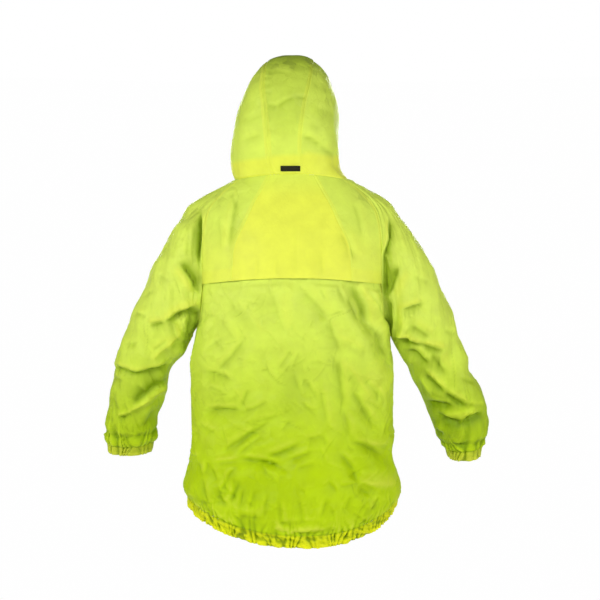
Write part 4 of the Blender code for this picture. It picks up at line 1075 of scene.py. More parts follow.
def merged(parts):
    """The vertices and faces of several meshes as those of one."""
    vertices, faces, count = [], [], 0
    for points, triangles in parts:
        vertices.append(points)
        faces.append(triangles + count)
        count += len(points)
    return np.concatenate(vertices), np.concatenate(faces)


def stitches(name, lines, material):
    """Rows of stitches along these lines, each a small spindle of thread that lies in the cloth."""
    rows = [repeated(STITCH_SHAPE, STITCH_FACES, *frames_along(line, STITCH_PITCH)) for line in lines]
    add_piece(name, *merged(rows), material)


# ---------------------------------------------------------------- materials

def feed(tree, node, inputs):
    """Sets a node's inputs, each to a value, or linked to the (node, output) pair that feeds it."""
    for name, value in inputs.items():
        if isinstance(value, tuple) and isinstance(value[0], bpy.types.Node):
            tree.links.new(value[0].outputs[value[1]], node.inputs[name])
        else:
            node.inputs[name].default_value = value


def add_node(tree, kind, inputs=None, **settings):
    """A shader node of a kind, with its settings and its inputs."""
    node = tree.nodes.new(kind)
    for name, value in settings.items():
        setattr(node, name, value)
    feed(tree, node, inputs or {})
    return node


def ranged(tree, source, start, end, low, high, **settings):
    """The source's run from start to end, moved to the run from low to high."""
    inputs = {"Value": source, "From Min": start, "From Max": end, "To Min": low, "To Max": high}
    return add_node(tree, "ShaderNodeMapRange", inputs, **settings), "Result"


def blended(tree, share, first, second, blend_type="MIX"):
    """The second colour over the first, by a share."""
    return add_node(tree, "ShaderNodeMix", {"Factor": share, 6: first, 7: second}, data_type="RGBA",
                    blend_type=blend_type), 2


def calculated(tree, operation, first, second=0.0):
    """A sum or a product of two values, or the sine of one."""
    return add_node(tree, "ShaderNodeMath", {0: first, 1: second}, operation=operation), 0


def moved(tree, operation, first, inputs, output="Vector"):
    """A vector taken with another vector or a number."""
    return add_node(tree, "ShaderNodeVectorMath", {0: first, **inputs}, operation=operation), output


def noise(tree, place, scale, detail, roughness=0.5, output="Fac"):
    """Noise at a place."""
    inputs = {"Vector": place, "Scale": scale, "Detail": detail, "Roughness": roughness}
    return add_node(tree, "ShaderNodeTexNoise", inputs), output


def bumped(tree, height, strength, distance, under=None):
    """The normal of a height, over the normal of what lies under it."""
    inputs = {"Height": height, "Strength": strength, "Distance": distance}
    if under:
        inputs["Normal"] = under
    return add_node(tree, "ShaderNodeBump", inputs), "Normal"


def new_material(name):
    """A material, its node tree, its Principled shader and its output."""
    material = bpy.data.materials.new(name)
    material.use_nodes = True
    tree = material.node_tree
    return material, tree, tree.nodes["Principled BSDF"], tree.nodes["Material Output"]


def thin_cloth_group():
    """Colour, roughness and normal of the crumpled thin cloth. The colour goes from single to low down the
    jacket, which is painted shade, to doubled by Layers, and by the shading input to painted shade in
    creases and a painted highlight on ridges. The height is small flat facets, each tilted its own way,
    calm in places and on doubled cloth, plus grain and plain weave."""
    tree = bpy.data.node_groups.new("thin_cloth", "ShaderNodeTree")
    for name, kind, value in (("Single", "Color", (0.6, 0.8, 0.05, 1)),
                              ("Doubled", "Color", (0.8, 0.9, 0.08, 1)),
                              ("Low Shade", "Color", (0.4, 0.6, 0.01, 1)), ("Layers", "Float", 0.0),
                              ("Hollow", "Float", 0.0), ("Place", "Vector", (0, 0, 0)),
                              ("Cloth Place", "Vector", (0, 0, 0))):
        socket = tree.interface.new_socket(name, in_out="INPUT", socket_type="NodeSocket" + kind)
        socket.default_value = value
    for name, kind in (("Colour", "Color"), ("Roughness", "Float"), ("Normal", "Vector")):
        tree.interface.new_socket(name, in_out="OUTPUT", socket_type="NodeSocket" + kind)
    inputs, outputs = add_node(tree, "NodeGroupInput"), add_node(tree, "NodeGroupOutput")
    single, doubled, low, layers, hollow, place, cloth_place = ((inputs, number) for number in range(7))

    height = add_node(tree, "ShaderNodeSeparateXYZ", {0: place}), "Z"
    # painted shade lower down the jacket
    down = ranged(tree, height, SHADE_LOW_FROM, SHADE_LOW_TO, 0.0, 1.0, interpolation_type="SMOOTHSTEP")
    colour = blended(tree, layers, blended(tree, down, single, low), doubled)
    # painted shade in creases
    colour = blended(tree, ranged(tree, hollow, 0.0, 1.0, 0.0, 0.85), colour, (*CREASE_SHADE_TINT, 1), "MULTIPLY")
    # painted highlight on raised creases and gathers, towards the doubled colour
    colour = blended(tree, ranged(tree, hollow, 0.0, -0.6, 0.0, 0.45), colour, doubled)
    patches = noise(tree, place, 26.0, 4.0, 0.6)
    colour = blended(tree, 1.0, colour, ranged(tree, patches, 0.3, 0.7, 0.94, 1.05), "MULTIPLY")
    roughness = ranged(tree, patches, 0.3, 0.7, 0.42, 0.56)

    middle = {1: (0.5, 0.5, 0.5)}
    warp = moved(tree, "SUBTRACT", noise(tree, place, 40.0, 2.0, output="Color"), middle)
    warped = moved(tree, "ADD", place, {1: moved(tree, "SCALE", warp, {"Scale": FACET_WARP})})
    facets = add_node(tree, "ShaderNodeTexVoronoi", {"Vector": warped, "Scale": 1 / FACET})
    from_middle = moved(tree, "SUBTRACT", warped, {1: (facets, "Position")})
    tilt = moved(tree, "SUBTRACT", (facets, "Color"), middle)
    slope = moved(tree, "DOT_PRODUCT", from_middle, {1: tilt}, "Value")
    steepness = ranged(tree, layers, 0.0, 1.0, FACET_TILT, DOUBLED_TILT * FACET_TILT)
    calm = ranged(tree, noise(tree, place, 17.0, 1.0), 0.38, 0.6, 0.15, 1.0,
                  interpolation_type="SMOOTHSTEP")
    crumple = calculated(tree, "MULTIPLY", calculated(tree, "MULTIPLY", slope, steepness), calm)
    coarse = calculated(tree, "ADD", crumple, noise(tree, place, 170.0, 4.0, 0.55))
    coarse_normal = bumped(tree, coarse, 0.5, 0.0009)

    threads = moved(tree, "SCALE", cloth_place, {"Scale": 1 / THREAD})
    split = add_node(tree, "ShaderNodeSeparateXYZ", {0: threads})
    turns = [calculated(tree, "MULTIPLY", (split, axis), math.pi) for axis in "XY"]
    waves = [calculated(tree, "SINE", turn) for turn in turns]
    normal = bumped(tree, calculated(tree, "MULTIPLY", *waves), 0.25, 0.00006, coarse_normal)
    feed(tree, outputs, {"Colour": colour, "Roughness": roughness, "Normal": normal})
    return tree


THREAD = 0.00042                # one thread of the plain weave, metres
RIB_SCALE = 0.31416             # a wave texture's scale times the spacing of its bands
FACET = 0.021                   # size of the crumple's smallest flat facets, metres
FACET_TILT = 850.0              # how steeply they tilt, in heights of the coarse bump a metre
DOUBLED_TILT = 0.12             # share of it on doubled cloth
FACET_WARP = 0.012              # how far their pattern is pulled about, metres
CREASE_SHADE_TINT = (0.38, 0.48, 0.05)  # painted shade: what the colour is multiplied by at the bottom of a deep crease
SHADE_LOW_FROM = -0.20                # painted shade: the cloth's colour deepens towards the low colour from here
SHADE_LOW_TO = -0.64
SHARP_ANGLE = 62


def thin_cloth_material(name, group, single, doubled, low, through):
    """The fluorescent thin cloth: a dull gloss and a faint painted glow of its colour, an emission though
    the cloth is no lamp, and a share of the light passes through."""
    material, tree, shader, output = new_material(name)
    look = add_node(tree, "ShaderNodeGroup", node_tree=group)
    feed(tree, look, {
        "Single": (*single, 1),
        "Doubled": (*doubled, 1),
        "Low Shade": (*low, 1),
        "Place": (add_node(tree, "ShaderNodeTexCoord"), "Object"),
        "Cloth Place": (add_node(tree, "ShaderNodeUVMap", uv_map="cloth"), "UV"),
        "Layers": (add_node(tree, "ShaderNodeAttribute", attribute_name="layers"), "Fac"),
        "Hollow": (add_node(tree, "ShaderNodeAttribute", attribute_name="hollow"), "Fac"),
    })
    colour, normal = (look, "Colour"), (look, "Normal")
    # painted glow: a faint emission of the cloth's own colour
    feed(tree, shader, {"Base Color": colour, "Emission Color": colour, "Emission Strength": 0.02,
                        "Roughness": (look, "Roughness"), "Normal": normal, "Specular IOR Level": 0.17})
    glow = add_node(tree, "ShaderNodeBsdfTranslucent", {"Color": colour, "Normal": normal})
    mix = add_node(tree, "ShaderNodeMixShader", {"Fac": through, 1: (shader, "BSDF"), 2: (glow, "BSDF")})
    feed(tree, output, {"Surface": (mix, 0)})
    return material


def trim_material(name, colour, roughness, metallic, size, depth, spread=0.08, along_axis="X"):
    """Webbing, tape, teeth, thread or lacquered metal: fine ribs of a size and grain over a slightly uneven
    colour; 'spread' is how far its roughness varies."""
    material, tree, shader, _ = new_material(name)
    place = add_node(tree, "ShaderNodeTexCoord"), "Object"
    grain = noise(tree, place, 900.0, 3.0)
    ramp = add_node(tree, "ShaderNodeValToRGB", {"Fac": grain})
    for element, strength in zip(ramp.color_ramp.elements, (0.7, 1.35)):
        element.color = (*[strength * part for part in colour], 1)
    bands = {"Vector": place, "Scale": RIB_SCALE / size, "Distortion": 0.4}
    ribs = add_node(tree, "ShaderNodeTexWave", bands, wave_type="BANDS", bands_direction=along_axis)
    height = calculated(tree, "ADD", (ribs, "Fac"), grain)
    feed(tree, shader, {"Base Color": (ramp, "Color"), "Metallic": metallic, "Specular IOR Level": 0.25,
                        "Roughness": ranged(tree, grain, 0.0, 1.0, roughness - spread, roughness + spread),
                        "Normal": bumped(tree, height, 0.5, depth)})
    return material


group = thin_cloth_group()
SINGLE = (0.70, 0.84, 0.11)
DOUBLED = (0.81, 0.86, 0.085)
# painted shade: the colour the cloth darkens to lower down the jacket
LOW_SHADED = (0.49, 0.67, 0.0)
BLACK = (0.013, 0.013, 0.003)
materials = {
    "shell_cloth": thin_cloth_material("thin_yellow_cloth", group, SINGLE, DOUBLED, LOW_SHADED, 0.2),
    # each cloth's third colour is painted shade, for its lower parts
    "elastic_band": thin_cloth_material("gathered_cloth", group, (0.62, 0.72, 0.005), (0.80, 0.82, 0.005),
                                        (0.56, 0.64, 0.0), 0.12),
    "cuff_cloth": thin_cloth_material("cuff_cloth", group, (0.50, 0.60, 0.03), (0.62, 0.68, 0.04),
                                      (0.46, 0.55, 0.02), 0.12),
    "webbing": trim_material("ribbed_webbing", BLACK, 0.8, 0.0, 0.0013, 0.0002),
    "zip_tape": trim_material("zip_twill", (0.02, 0.02, 0.02), 0.75, 0.0, 0.0008, 0.0001, along_axis="Z"),
    "zip_teeth": trim_material("zip_nylon", (0.02, 0.02, 0.02), 0.45, 0.0, 0.0016, 0.00002, 0.1, "Z"),
    "zip_metal": trim_material("black_lacquer", (0.03, 0.03, 0.03), 0.34, 0.85, 0.0006, 0.00001),
    "thread": trim_material("yellow_thread", (0.82, 0.90, 0.2), 0.55, 0.0, 0.0004, 0.00004),
    "deep_thread": trim_material("deep_yellow_thread", (0.42, 0.52, 0.02), 0.55, 0.0, 0.0004, 0.00004),
}


# ---------------------------------------------------------------- the jacket's pieces

HEM_GATHER = 1.9                # height of the gathers where the panels meet the elastic
BAND_GATHER = 2.8               # and in the middle of the elastic
RUFFLE = 3.0                    # height of the crumple of the hem's elastic
BAND_SPACING = 1.75             # between the grid lines across it
BAND_FLAT = 45.0                # its gathers grow over this length beside the zip
HEM_CRUMPLE = 1.5               # height of the crumple between the gathers above it
HEM_CRUMPLE_REACH = 26.0
HOOD_SHADE = {"left": 0.24, "centre": 0.42, "right": 0.24}      # painted shade: how much deeper each panel's colour is painted higher up
HOOD_SHADE_FROM = 60.0          # the height where that begins, and over how much it grows
HOOD_SHADE_FADE = 90.0
HOOD_TOP_SHADE = 0.4            # the same painted shade for the hood's top
HOOD_TOP_FROM = 215.0
HOOD_TOP_FADE = 60.0
COLLAR_LINES = 20
COLLAR_SHOWS = 0.9              # how much the collar shows through the hood as a second layer
COLLAR_BELOW = 4.0              # up to this far below its edge, slanting by COLLAR_SLANT in 100 mm
COLLAR_SLANT = 10.0
COLLAR_FADE = 16.0
CUFF_TUCK = {"left": 31.0, "right": 22.0}       # how far above the cuff the sleeve is drawn in
CUFF_TUCK_DEPTH = 4.0
CUFF_TUCK_WIDTH = 8.0
CUFF_TUCK_SHADE = 0.55          # painted shade: how much deeper the colour is painted in it
CUFF_ROLL = 2.4                 # height of the roll of cloth between it and the cuff
CUFF_SHADE = {"left": 0.22, "right": 0.40}      # painted shade: how much deeper the colour is painted near the cuff, behind
CUFF_SHADE_FROM = -380.0        # the height where that begins, and over how much it grows
CUFF_SHADE_FADE = 110.0
RIGHT_CREASES_LOWER = 15.0      # the right sleeve's hidden creases below the left one's
GATHER_SHADE_DEPTH = 2.6             # painted shade: a gather this low has the deepest, and its ridges get a painted highlight
RUFFLE_SHADE_DEPTH = 2.4             # the same painted shade and highlight for the hem's elastic
SEEDS = {"front_left": 11, "front_right": 12, "back": 21, "yoke": 31, "hood": 41, "sleeve_left": 61,
         "sleeve_right": 62, "ruffle": 71, "hem": 81}
FLAP_LAYER = 0.7                # how much the back panel under the yoke's flap shows as a second layer
FLAP_OVERLAP = 42.0             # up to here, and less over FLAP_FADE below that
FLAP_FADE = 20.0
PAINTED_LIGHT_SHARE = 0.45               # painted light: how strongly the yoke's sides are painted paler, as doubled cloth, higher up
PALE_UP_TO = 150.0
PALE_FADE = 110.0
NECK_THINNER = 0.6              # how much less doubled the yoke's centre looks at the neck
NECK_FADE = 70.0
SOFT_FADE = 42.0                # how far from a seam the soft folds, crisp and small creases are full
CRISP_FADE = 6.0
SMALL_FADE = 7.0


def seam_fades(away, sewn):
    """Three shares that grow from the sewn edges inwards, for soft folds, crisp and small creases."""
    nearest = np.minimum.reduce([away[edge] for edge in sewn])
    return (smooth(nearest / SOFT_FADE), 0.06 + 0.94 * smooth(nearest / CRISP_FADE),
            0.2 + 0.8 * smooth(nearest / SMALL_FADE))


def lying(away, sewn, kind, seed, soft_depth=0.0, crisp_depth=0.0, billow=0.8, elastic=None):
    """Height of a panel's folds and creases: minus the soft, crisp and strewn depths, each faded at the
    sewn edges, plus the crumple and a slow unevenness. Near the edge named 'elastic' more creases run
    into it. Also the painted shading of each point: painted shade by how deep in a crisp crease it lies, as
    a share of the depth with the deepest shade, and a painted highlight on raised creases."""
    soft, crisp, small = seam_fades(away, sewn)
    u, v = away["left"], away["low"]
    sharp = crisp_depth * crisp + strewn(u, v, kind, seed) * small
    if elastic:
        near = smooth((GATHERED_ZONE - away[elastic]) / GATHERED_ZONE) * smooth(away[elastic] / 3)
        sharp = sharp + strewn(u, v, "gathered", seed + 7) * near * (0.7 + 0.5 * np.sin(u / 41.0 + seed))
    height = billowed(u, v, seed + 50, billow) * soft + crumpled(u, v, kind, seed + 90) * small
    return height - soft_depth * soft - sharp, np.clip(sharp / DEEPEST_SHADE_DEPTH, -0.6, 1)


def swelling(s, rise):
    """The gathers of an elastic at length s: they grow from HEM_GATHER at its seam to BAND_GATHER and
    partly back towards its free edge, by the sine of how far a point lies from the seam."""
    swell = HEM_GATHER + (BAND_GATHER - HEM_GATHER) * np.sin(np.pi * np.clip(rise * 0.8, 0, 1))
    return swell * gather_wave(s)


def hem_gathers(away, start):
    """Height of the gathers above the hem's elastic, with lengths counted from 'start' at the left edge:
    waves that fade upwards, and a crumple of small facets between them that fades within 35 mm."""
    s, up = leaning(start + away["left"][:1], away["low"]), away["low"]
    draw = np.random.default_rng(SEEDS["hem"])
    patch = 0.6 + 0.5 * np.sin(s / 37.0 + 2.4) + 0.3 * np.sin(s / 15.0)
    facets = faceted(s, up, 12, draw) + 0.8 * faceted(s, up, 7, draw)
    crumple = HEM_CRUMPLE * patch * facets * smooth(up / 6) * np.exp(-(up / HEM_CRUMPLE_REACH) ** 2)
    return HEM_GATHER * gather_wave(s) * np.exp(-up / gather_reach(s)) + crumple


def build_trunk():
    """The fronts and the back."""
    faces = {}
    grid, *_ = sampled(front_surface, (0, NECK_ROW), (0, 1), "front", EVERY_EDGE)
    fronts = {"left": grid, "right": grid[:, ::-1] * (-1, 1, 1)}
    back, at, _ = sampled(back_surface, (0, TUCK_ROW), (1, -1), "back", EVERY_EDGE)
    starts = {"left": 0.0, "back": distances(grid)["left"][0, -1]}
    starts["right"] = starts["back"] + distances(back)["left"][0, -1]

    for side, grid in fronts.items():
        name = f"front_{side}"
        normals, away = normals_of(grid), distances(grid)
        x, z = grid[..., 0], grid[..., 2]
        relief, hollow = lying(away, EVERY_EDGE, "front", SEEDS[name],
                               FOLD_SHARE * folded(x, z, FRONT_FOLDS), creased(x, z, FRONT_CREASES),
                               elastic="low")
        gathers = hem_gathers(away, starts[side])
        zip_edge, seam_edge = ("left", "right") if side == "left" else ("right", "left")
        edges = {"low": "elastic", "high": "under", zip_edge: "hem", seam_edge: "under"}
        # painted shade between the gathers, a painted highlight on them
        relief = relief + gathers, hollow - gathers / GATHER_SHADE_DEPTH
        faces[name] = cloth(name + "_cloth", grid, normals, edges, relief, name)

    normals, away = normals_of(back), distances(back)
    x, z = back[..., 0], back[..., 2]
    relief, hollow = lying(away, EVERY_EDGE, "back", SEEDS["back"], FOLD_SHARE * folded(x, z, BACK_FOLDS),
                           creased(x, z, BACK_CREASES), elastic="low")
    gathers = hem_gathers(away, starts["back"])
    # painted shade and painted light of the back's patches; painted shade between the gathers, a painted
    # highlight on them
    relief, hollow = relief + gathers, hollow + painted_patch_amount(x, z, BACK_PAINTED_PATCHES) - gathers / GATHER_SHADE_DEPTH
    tuck = smooth((at - ARMPIT_ROW - 2) / (FLAP_ROW - ARMPIT_ROW - 2))[:, None]
    relief = np.where(tuck > TUCKED_FROM, np.minimum(relief, TUCKED_RELIEF), relief) - tuck * TUCK_DEPTH
    edges = {"low": "elastic", "high": "under", "left": "over", "right": "over"}
    faces["back"] = cloth("back_cloth", back, normals, edges, (relief, hollow), "back_panel")

    return faces, fronts, back


def build_yoke():
    """The yoke's doubled centre and its two sides, whose free edge lies over the back."""
    faces = {}
    centre_end = YOKE_SIDE_COLUMNS + YOKE_CENTRE_COLUMNS
    spans = {"left": (0, YOKE_SIDE_COLUMNS), "centre": (YOKE_SIDE_COLUMNS, centre_end),
             "right": (centre_end, YOKE_ALL_COLUMNS)}
    for seed, (part, span) in enumerate(spans.items(), start=SEEDS["yoke"]):
        grid, *_ = sampled(yoke_surface, (FLAP_ROW, NECK_ROW), span, "yoke", EVERY_EDGE)
        normals, away = normals_of(grid), distances(grid)
        relief = lying(away, ("high", "left", "right"), "yoke", seed, 0.0,
                       creased(grid[..., 0], grid[..., 2], YOKE_CREASES), 0.6)
        if part == "centre":
            slot, side = "doubled_cloth", "under"
            layers = 1 - NECK_THINNER * smooth((NECK_FADE - away["high"]) / NECK_FADE)
        else:
            slot, side = "shell_cloth", "over"
            # painted light: the yoke sides' lower part painted paler, beside the real second layer under
            # the flap
            layers = np.maximum(FLAP_LAYER * smooth((FLAP_OVERLAP - away["low"]) / FLAP_FADE),
                                PAINTED_LIGHT_SHARE * smooth((PALE_UP_TO - away["low"]) / PALE_FADE))
        edges = {"low": "hem", "high": "under", "left": side, "right": side}
        faces[f"yoke_{part}"] = cloth(f"yoke_{part}_cloth", grid, normals, edges, relief,
                                      f"yoke_{part}", layers)
    return faces


def sleeve_folds(name, at, column, length):
    """Depth of the solid's folds across a sleeve: exp(-a^2) round a line that climbs round the sleeve,
    with a lower ridge on either side, within half its spread."""
    turns = np.array([sleeve_turns(ring, column) for ring in at])
    depth = np.zeros(turns.shape)
    for fold_at, turn, tilt, spread, fold_depth, width in SLEEVE_FOLDS[name]:
        off = (turns - turn + 180) % 360 - 180
        reach = 0.5 + 0.5 * np.cos(np.pi * np.clip(off / spread, -1, 1))
        away = (at[:, None] - fold_at - tilt * off / 90) / width
        depth += fold_depth * reach * (np.exp(-away ** 2) - 0.5 * np.exp(-(np.abs(away) - 1.8) ** 2))
    return depth * (smooth((at - 0.7) / 1.5) * smooth((length - at) / 0.8))[:, None]


def build_sleeve(name, side):
    """One sleeve and its elastic cuff. 'side' is 1 for the left one, and -1 turns it into the right one."""
    length, corner = len(SLEEVE_RINGS[name]), len(seam_rows()) - 1
    grid, at, column = sampled(sleeve_surface(name), (0, length), (0, SLEEVE_COLUMNS), "sleeve", EVERY_EDGE,
                               (corner, SLEEVE_COLUMNS - corner))
    depth = sleeve_folds(name, at, column, length)[:, ::side]
    grid = grid[:, ::side] * (side, 1, 1)
    normals, away = normals_of(grid, closed=True), distances(grid)
    x, z = grid[..., 0], grid[..., 2]
    behind = smooth((normals[..., 1] + 0.35) / 0.6)
    crisp = creased(x, z, SLEEVE_CREASES[name]) * behind
    lower = RIGHT_CREASES_LOWER if side < 0 else 0
    crisp = crisp + creased(side * x, z + lower, SLEEVE_FRONT_CREASES) * (1 - behind)
    relief, hollow = lying(away, EVERY_EDGE, "sleeve", SEEDS[f"sleeve_{name}"], FOLD_SHARE * depth, crisp,
                           elastic="high")
    above, tuck_at = away["high"], CUFF_TUCK[name]
    s = leaning(away["left"][-1:], above)
    tuck = np.exp(-((above - tuck_at) / CUFF_TUCK_WIDTH) ** 2)
    gathers = HEM_GATHER * gather_wave(s) * np.exp(-np.maximum(above - tuck_at, 0) / gather_reach(s))
    gathers = gathers * (1 + 0.5 * tuck)
    roll = CUFF_ROLL * np.exp(-((above - 0.35 * tuck_at) / (0.34 * tuck_at)) ** 2)
    relief = relief + gathers + roll * smooth(above / 8) - CUFF_TUCK_DEPTH * tuck
    # painted shade near the cuff and in the tuck, on the side behind; painted shade between the gathers and
    # a painted highlight on them
    shade = CUFF_SHADE[name] * smooth((CUFF_SHADE_FROM - z) / CUFF_SHADE_FADE)
    relief = relief, hollow - gathers / GATHER_SHADE_DEPTH + (CUFF_TUCK_SHADE * tuck + shade) * behind
    edges = {"low": "under", "high": "elastic", "left": "over", "right": "under"}
    sleeve = cloth(f"sleeve_{name}_cloth", grid, normals, edges, relief, f"sleeve_{name}")

    grid, *_ = sampled(cuff_surface(name), (0, 1), (0, SLEEVE_COLUMNS), "cuff", ("low",))
    grid = grid[:, ::side] * (side, 1, 1)
    normals, away = normals_of(grid, closed=True), distances(grid)
    s = away["left"][:1] * (sleeve["away"]["left"][-1, -1] / away["left"][0, -1])
    gathers = swelling(leaning(s, away["low"]), away["low"] / (away["low"] + away["high"]))
    # painted shade between the cuff's gathers, a painted highlight on them
    cuff = cloth(f"cuff_{name}_cloth", grid, normals, {"low": "elastic", "high": "hem"},
                 (gathers, -gathers / GATHER_SHADE_DEPTH), f"cuff_{name}",
                 material=materials["cuff_cloth"])
    return sleeve, cuff


def build_hem_band(fronts, back):
    """The gathered elastic at the hem, from the zip round the wearer's left and back to it."""
    edge = np.concatenate([fronts["left"][0], back[0, 1:], fronts["right"][0, 1:]])
    run = lengths_along(edge)
    s = np.arange(0, run[-1] + 1.0, BAND_SPACING)
    s = s * run[-1] / s[-1]
    edge = interpolated(s, run, edge)
    inward = -unit(edge[:, :2]) * BAND_INWARD
    hem = edge + np.column_stack([inward, np.full(len(edge), -BAND_HEIGHT)])
    hem[[0, -1], 0] = edge[[0, -1], 0]
    up = np.concatenate([np.arange(0, 19, 2.3), BAND_HEIGHT - np.array(SEAM_LINES)[::-1], [BAND_HEIGHT]])
    up = np.unique(up) / BAND_HEIGHT
    grid = hem + (edge - hem) * up[:, None, None]
    normals, away = normals_of(grid), distances(grid)
    off_zip = np.where(edge[:, 1] > 0, 1.0, smooth((np.abs(edge[:, 0]) - ZIP_EDGE) / BAND_FLAT))
    draw = np.random.default_rng(SEEDS["ruffle"])
    u, v = away["left"], away["low"]
    ruffle = faceted(u, v, 11, draw) + 0.8 * faceted(u, v, 6, draw)
    ruffle = RUFFLE * ruffle * smooth(away["high"] / 7)
    relief = (swelling(leaning(s, away["high"]), (1 - up)[:, None]) + ruffle) * off_zip
    # painted shade and painted light of the back's patches, carried onto the band's back
    band_painted_patches = painted_patch_amount(grid[..., 0], grid[..., 2], BACK_PAINTED_PATCHES) * smooth(grid[..., 1] / 40)
    # painted shade in the ruffle's hollows, a painted highlight on its ridges
    return cloth("hem_band_cloth", grid, normals, {"low": "hem", "high": "elastic"},
                 (relief, band_painted_patches - relief / RUFFLE_SHADE_DEPTH), "hem_band",
                 material=materials["elastic_band"])


def build_hood():
    """The hood's three panels, the hem round its face opening and the stand collar inside it."""
    faces = {}
    seams = (HOOD_MIDDLE - HOOD_SEAM_COLUMNS, HOOD_MIDDLE + HOOD_SEAM_COLUMNS)
    spans = {"left": (0, seams[0]), "centre": seams, "right": (seams[1], 2 * HOOD_MIDDLE)}
    kinds = {"left": ("hem", "over"), "centre": ("over", "over"), "right": ("under", "hem")}
    for seed, (part, span) in enumerate(spans.items(), start=SEEDS["hood"]):
        grid, *_ = sampled(hood_surface, (0, HOOD_PANEL_LOOPS), span, "hood", EVERY_EDGE)
        normals, away = normals_of(grid), distances(grid)
        x, z = grid[..., 0], grid[..., 2]
        behind = smooth((normals[..., 1] + 0.4) / 0.7)
        crisp = creased(x, z, HOOD_CREASES) * behind
        relief, hollow = lying(away, EVERY_EDGE, "hood", seed, 0.0, crisp, 0.9)
        # painted shade, deeper up the hood and at its top
        shade = HOOD_SHADE[part] * smooth((z - HOOD_SHADE_FROM) / HOOD_SHADE_FADE)
        shade = shade + HOOD_TOP_SHADE * smooth((z - HOOD_TOP_FROM) / HOOD_TOP_FADE)
        edges = {"low": "over", "high": "under", "left": kinds[part][0], "right": kinds[part][1]}
        rim = COLLAR_HEIGHTS[-1] - COLLAR_BELOW - COLLAR_SLANT * np.clip(x / 100, -1, 1) * behind
        base = COLLAR_SHOWS * smooth((rim - away["low"]) / COLLAR_FADE)
        faces[f"hood_{part}"] = cloth(f"hood_{part}_cloth", grid, normals, edges, (relief, hollow + shade),
                                      f"hood_{part}", base)

    grid, *_ = sampled(hood_surface, (HOOD_PANEL_LOOPS, len(HOOD_LOOPS)), (0, 2 * HOOD_MIDDLE), "face_hem",
                       ("low",))
    normals, away = normals_of(grid), distances(grid)
    relief = 0.5 * gather_wave(away["left"]) * smooth(away["low"] / 6)
    faces["face_hem"] = cloth("face_hem_cloth", grid, normals, {"low": "over", "high": "hem"}, relief,
                              "hood_face_hem", 1.0)

    whole, *_ = sampled(hood_surface, (0, 4), (1, 2 * HOOD_MIDDLE - 1), "collar", ())
    run = distances(whole)["low"]
    heights = np.linspace(*COLLAR_HEIGHTS, COLLAR_LINES)
    grid = np.stack([interpolated(heights, run[:, column], whole[:, column])
                     for column in range(whole.shape[1])], axis=1)
    grid[..., :2] += unit(np.array(NECK_MIDDLE) - grid[..., :2]) * COLLAR_IN
    edges = {"low": "under", "high": "hem", "left": "hem", "right": "hem"}
    faces["collar"] = cloth("collar_cloth", grid, normals_of(grid), edges, np.zeros(grid.shape[:2]),
                            "collar", 1.0)
    return faces


TAB_CENTRE = (3.0, 27.0)        # x, z
TAB_SIZE = (42.0, 11.0)
TAB_THICKNESS = 1.8
TAB_OUT = 2.35                  # the tab's middle outside the hood's


def hood_point(x, z):
    """Where the back of the hood is at x, z, by Newton steps over its rows and columns."""
    stack = hood_stack()
    first = HOOD_MIDDLE - 8
    at = np.interp(z, stack[:3, HOOD_MIDDLE, 2], np.arange(3.0))
    column = np.interp(-x, -stack[1, HOOD_MIDDLE - 6:HOOD_MIDDLE + 7, 0],
                       np.arange(HOOD_MIDDLE - 6.0, HOOD_MIDDLE + 7))

    def place(rows, columns):
        """Points of the loops' curves at rows, straight between their columns."""
        flat = np.array([along(stack[:, number], rows) for number in range(first, HOOD_MIDDLE + 9)])
        low = (columns - first).astype(int)
        t = (columns - first - low)[..., None]
        index = np.indices(rows.shape)
        return flat[(low, *index)] * (1 - t) + flat[(low + 1, *index)] * t

    for _ in range(6):
        here, step = place(at, column), 0.01
        by_row = (place(at + step, column) - here) / step
        by_column = (place(at, column + step) - here) / step
        off_x, off_z = x - here[..., 0], z - here[..., 2]
        scale = by_row[..., 0] * by_column[..., 2] - by_row[..., 2] * by_column[..., 0]
        at = at + (off_x * by_column[..., 2] - off_z * by_column[..., 0]) / scale
        column = column + (off_z * by_row[..., 0] - off_x * by_row[..., 2]) / scale
    return place(at, column)


def build_tab():
    """The black webbing tab across the hood's base: ribs across it, rounded edges, sewn down at its
    ends, where it lies lower."""
    across = np.linspace(0.5, -0.5, 106) * TAB_SIZE[0]
    upward = np.linspace(-0.5, 0.5, 17) * TAB_SIZE[1]
    x, z = np.meshgrid(TAB_CENTRE[0] + across, TAB_CENTRE[1] + upward)
    grid = hood_point(x, z)
    normals, away = normals_of(grid), distances(grid)
    ends = np.minimum(away["left"], away["right"])
    edge = np.minimum(away["low"], away["high"])
    ribs = 0.1 * np.cos(2 * np.pi * away["left"] / 1.3)
    relief = ribs - 0.5 * np.exp(-(np.minimum(edge, ends) / 0.5) ** 2)
    relief = relief - 0.35 * np.exp(-((ends - 3.0) / 0.8) ** 2)
    out = TAB_OUT + TAB_THICKNESS / 2 - CLOTH_OUT - 0.6 * smooth((5 - ends) / 4)
    return cloth("neck_tab", grid, normals, {}, relief + out, "hood_tab", wall=TAB_THICKNESS,
                 material=materials["webbing"])


TAPE_EDGE = 14.0                # each tape's far edge from the middle of the zip
TAPE_OUT = -2.0
TAPE_WALL = 0.8
CHAIN_WIDTH = 5.0
TOOTH_PITCH = 1.7
TOOTH_SIDES = 6
TOOTH_RINGS = ((0.2, 0.6), (0.7, 1.0), (2.0, 1.0), (2.45, 0.6))     # place across the zip and size
BOX_LENGTH = 10.0
SLIDER_BELOW_END = 4.0
SLIDER_POST = 2.6
ZIP_SPACING = 2.5


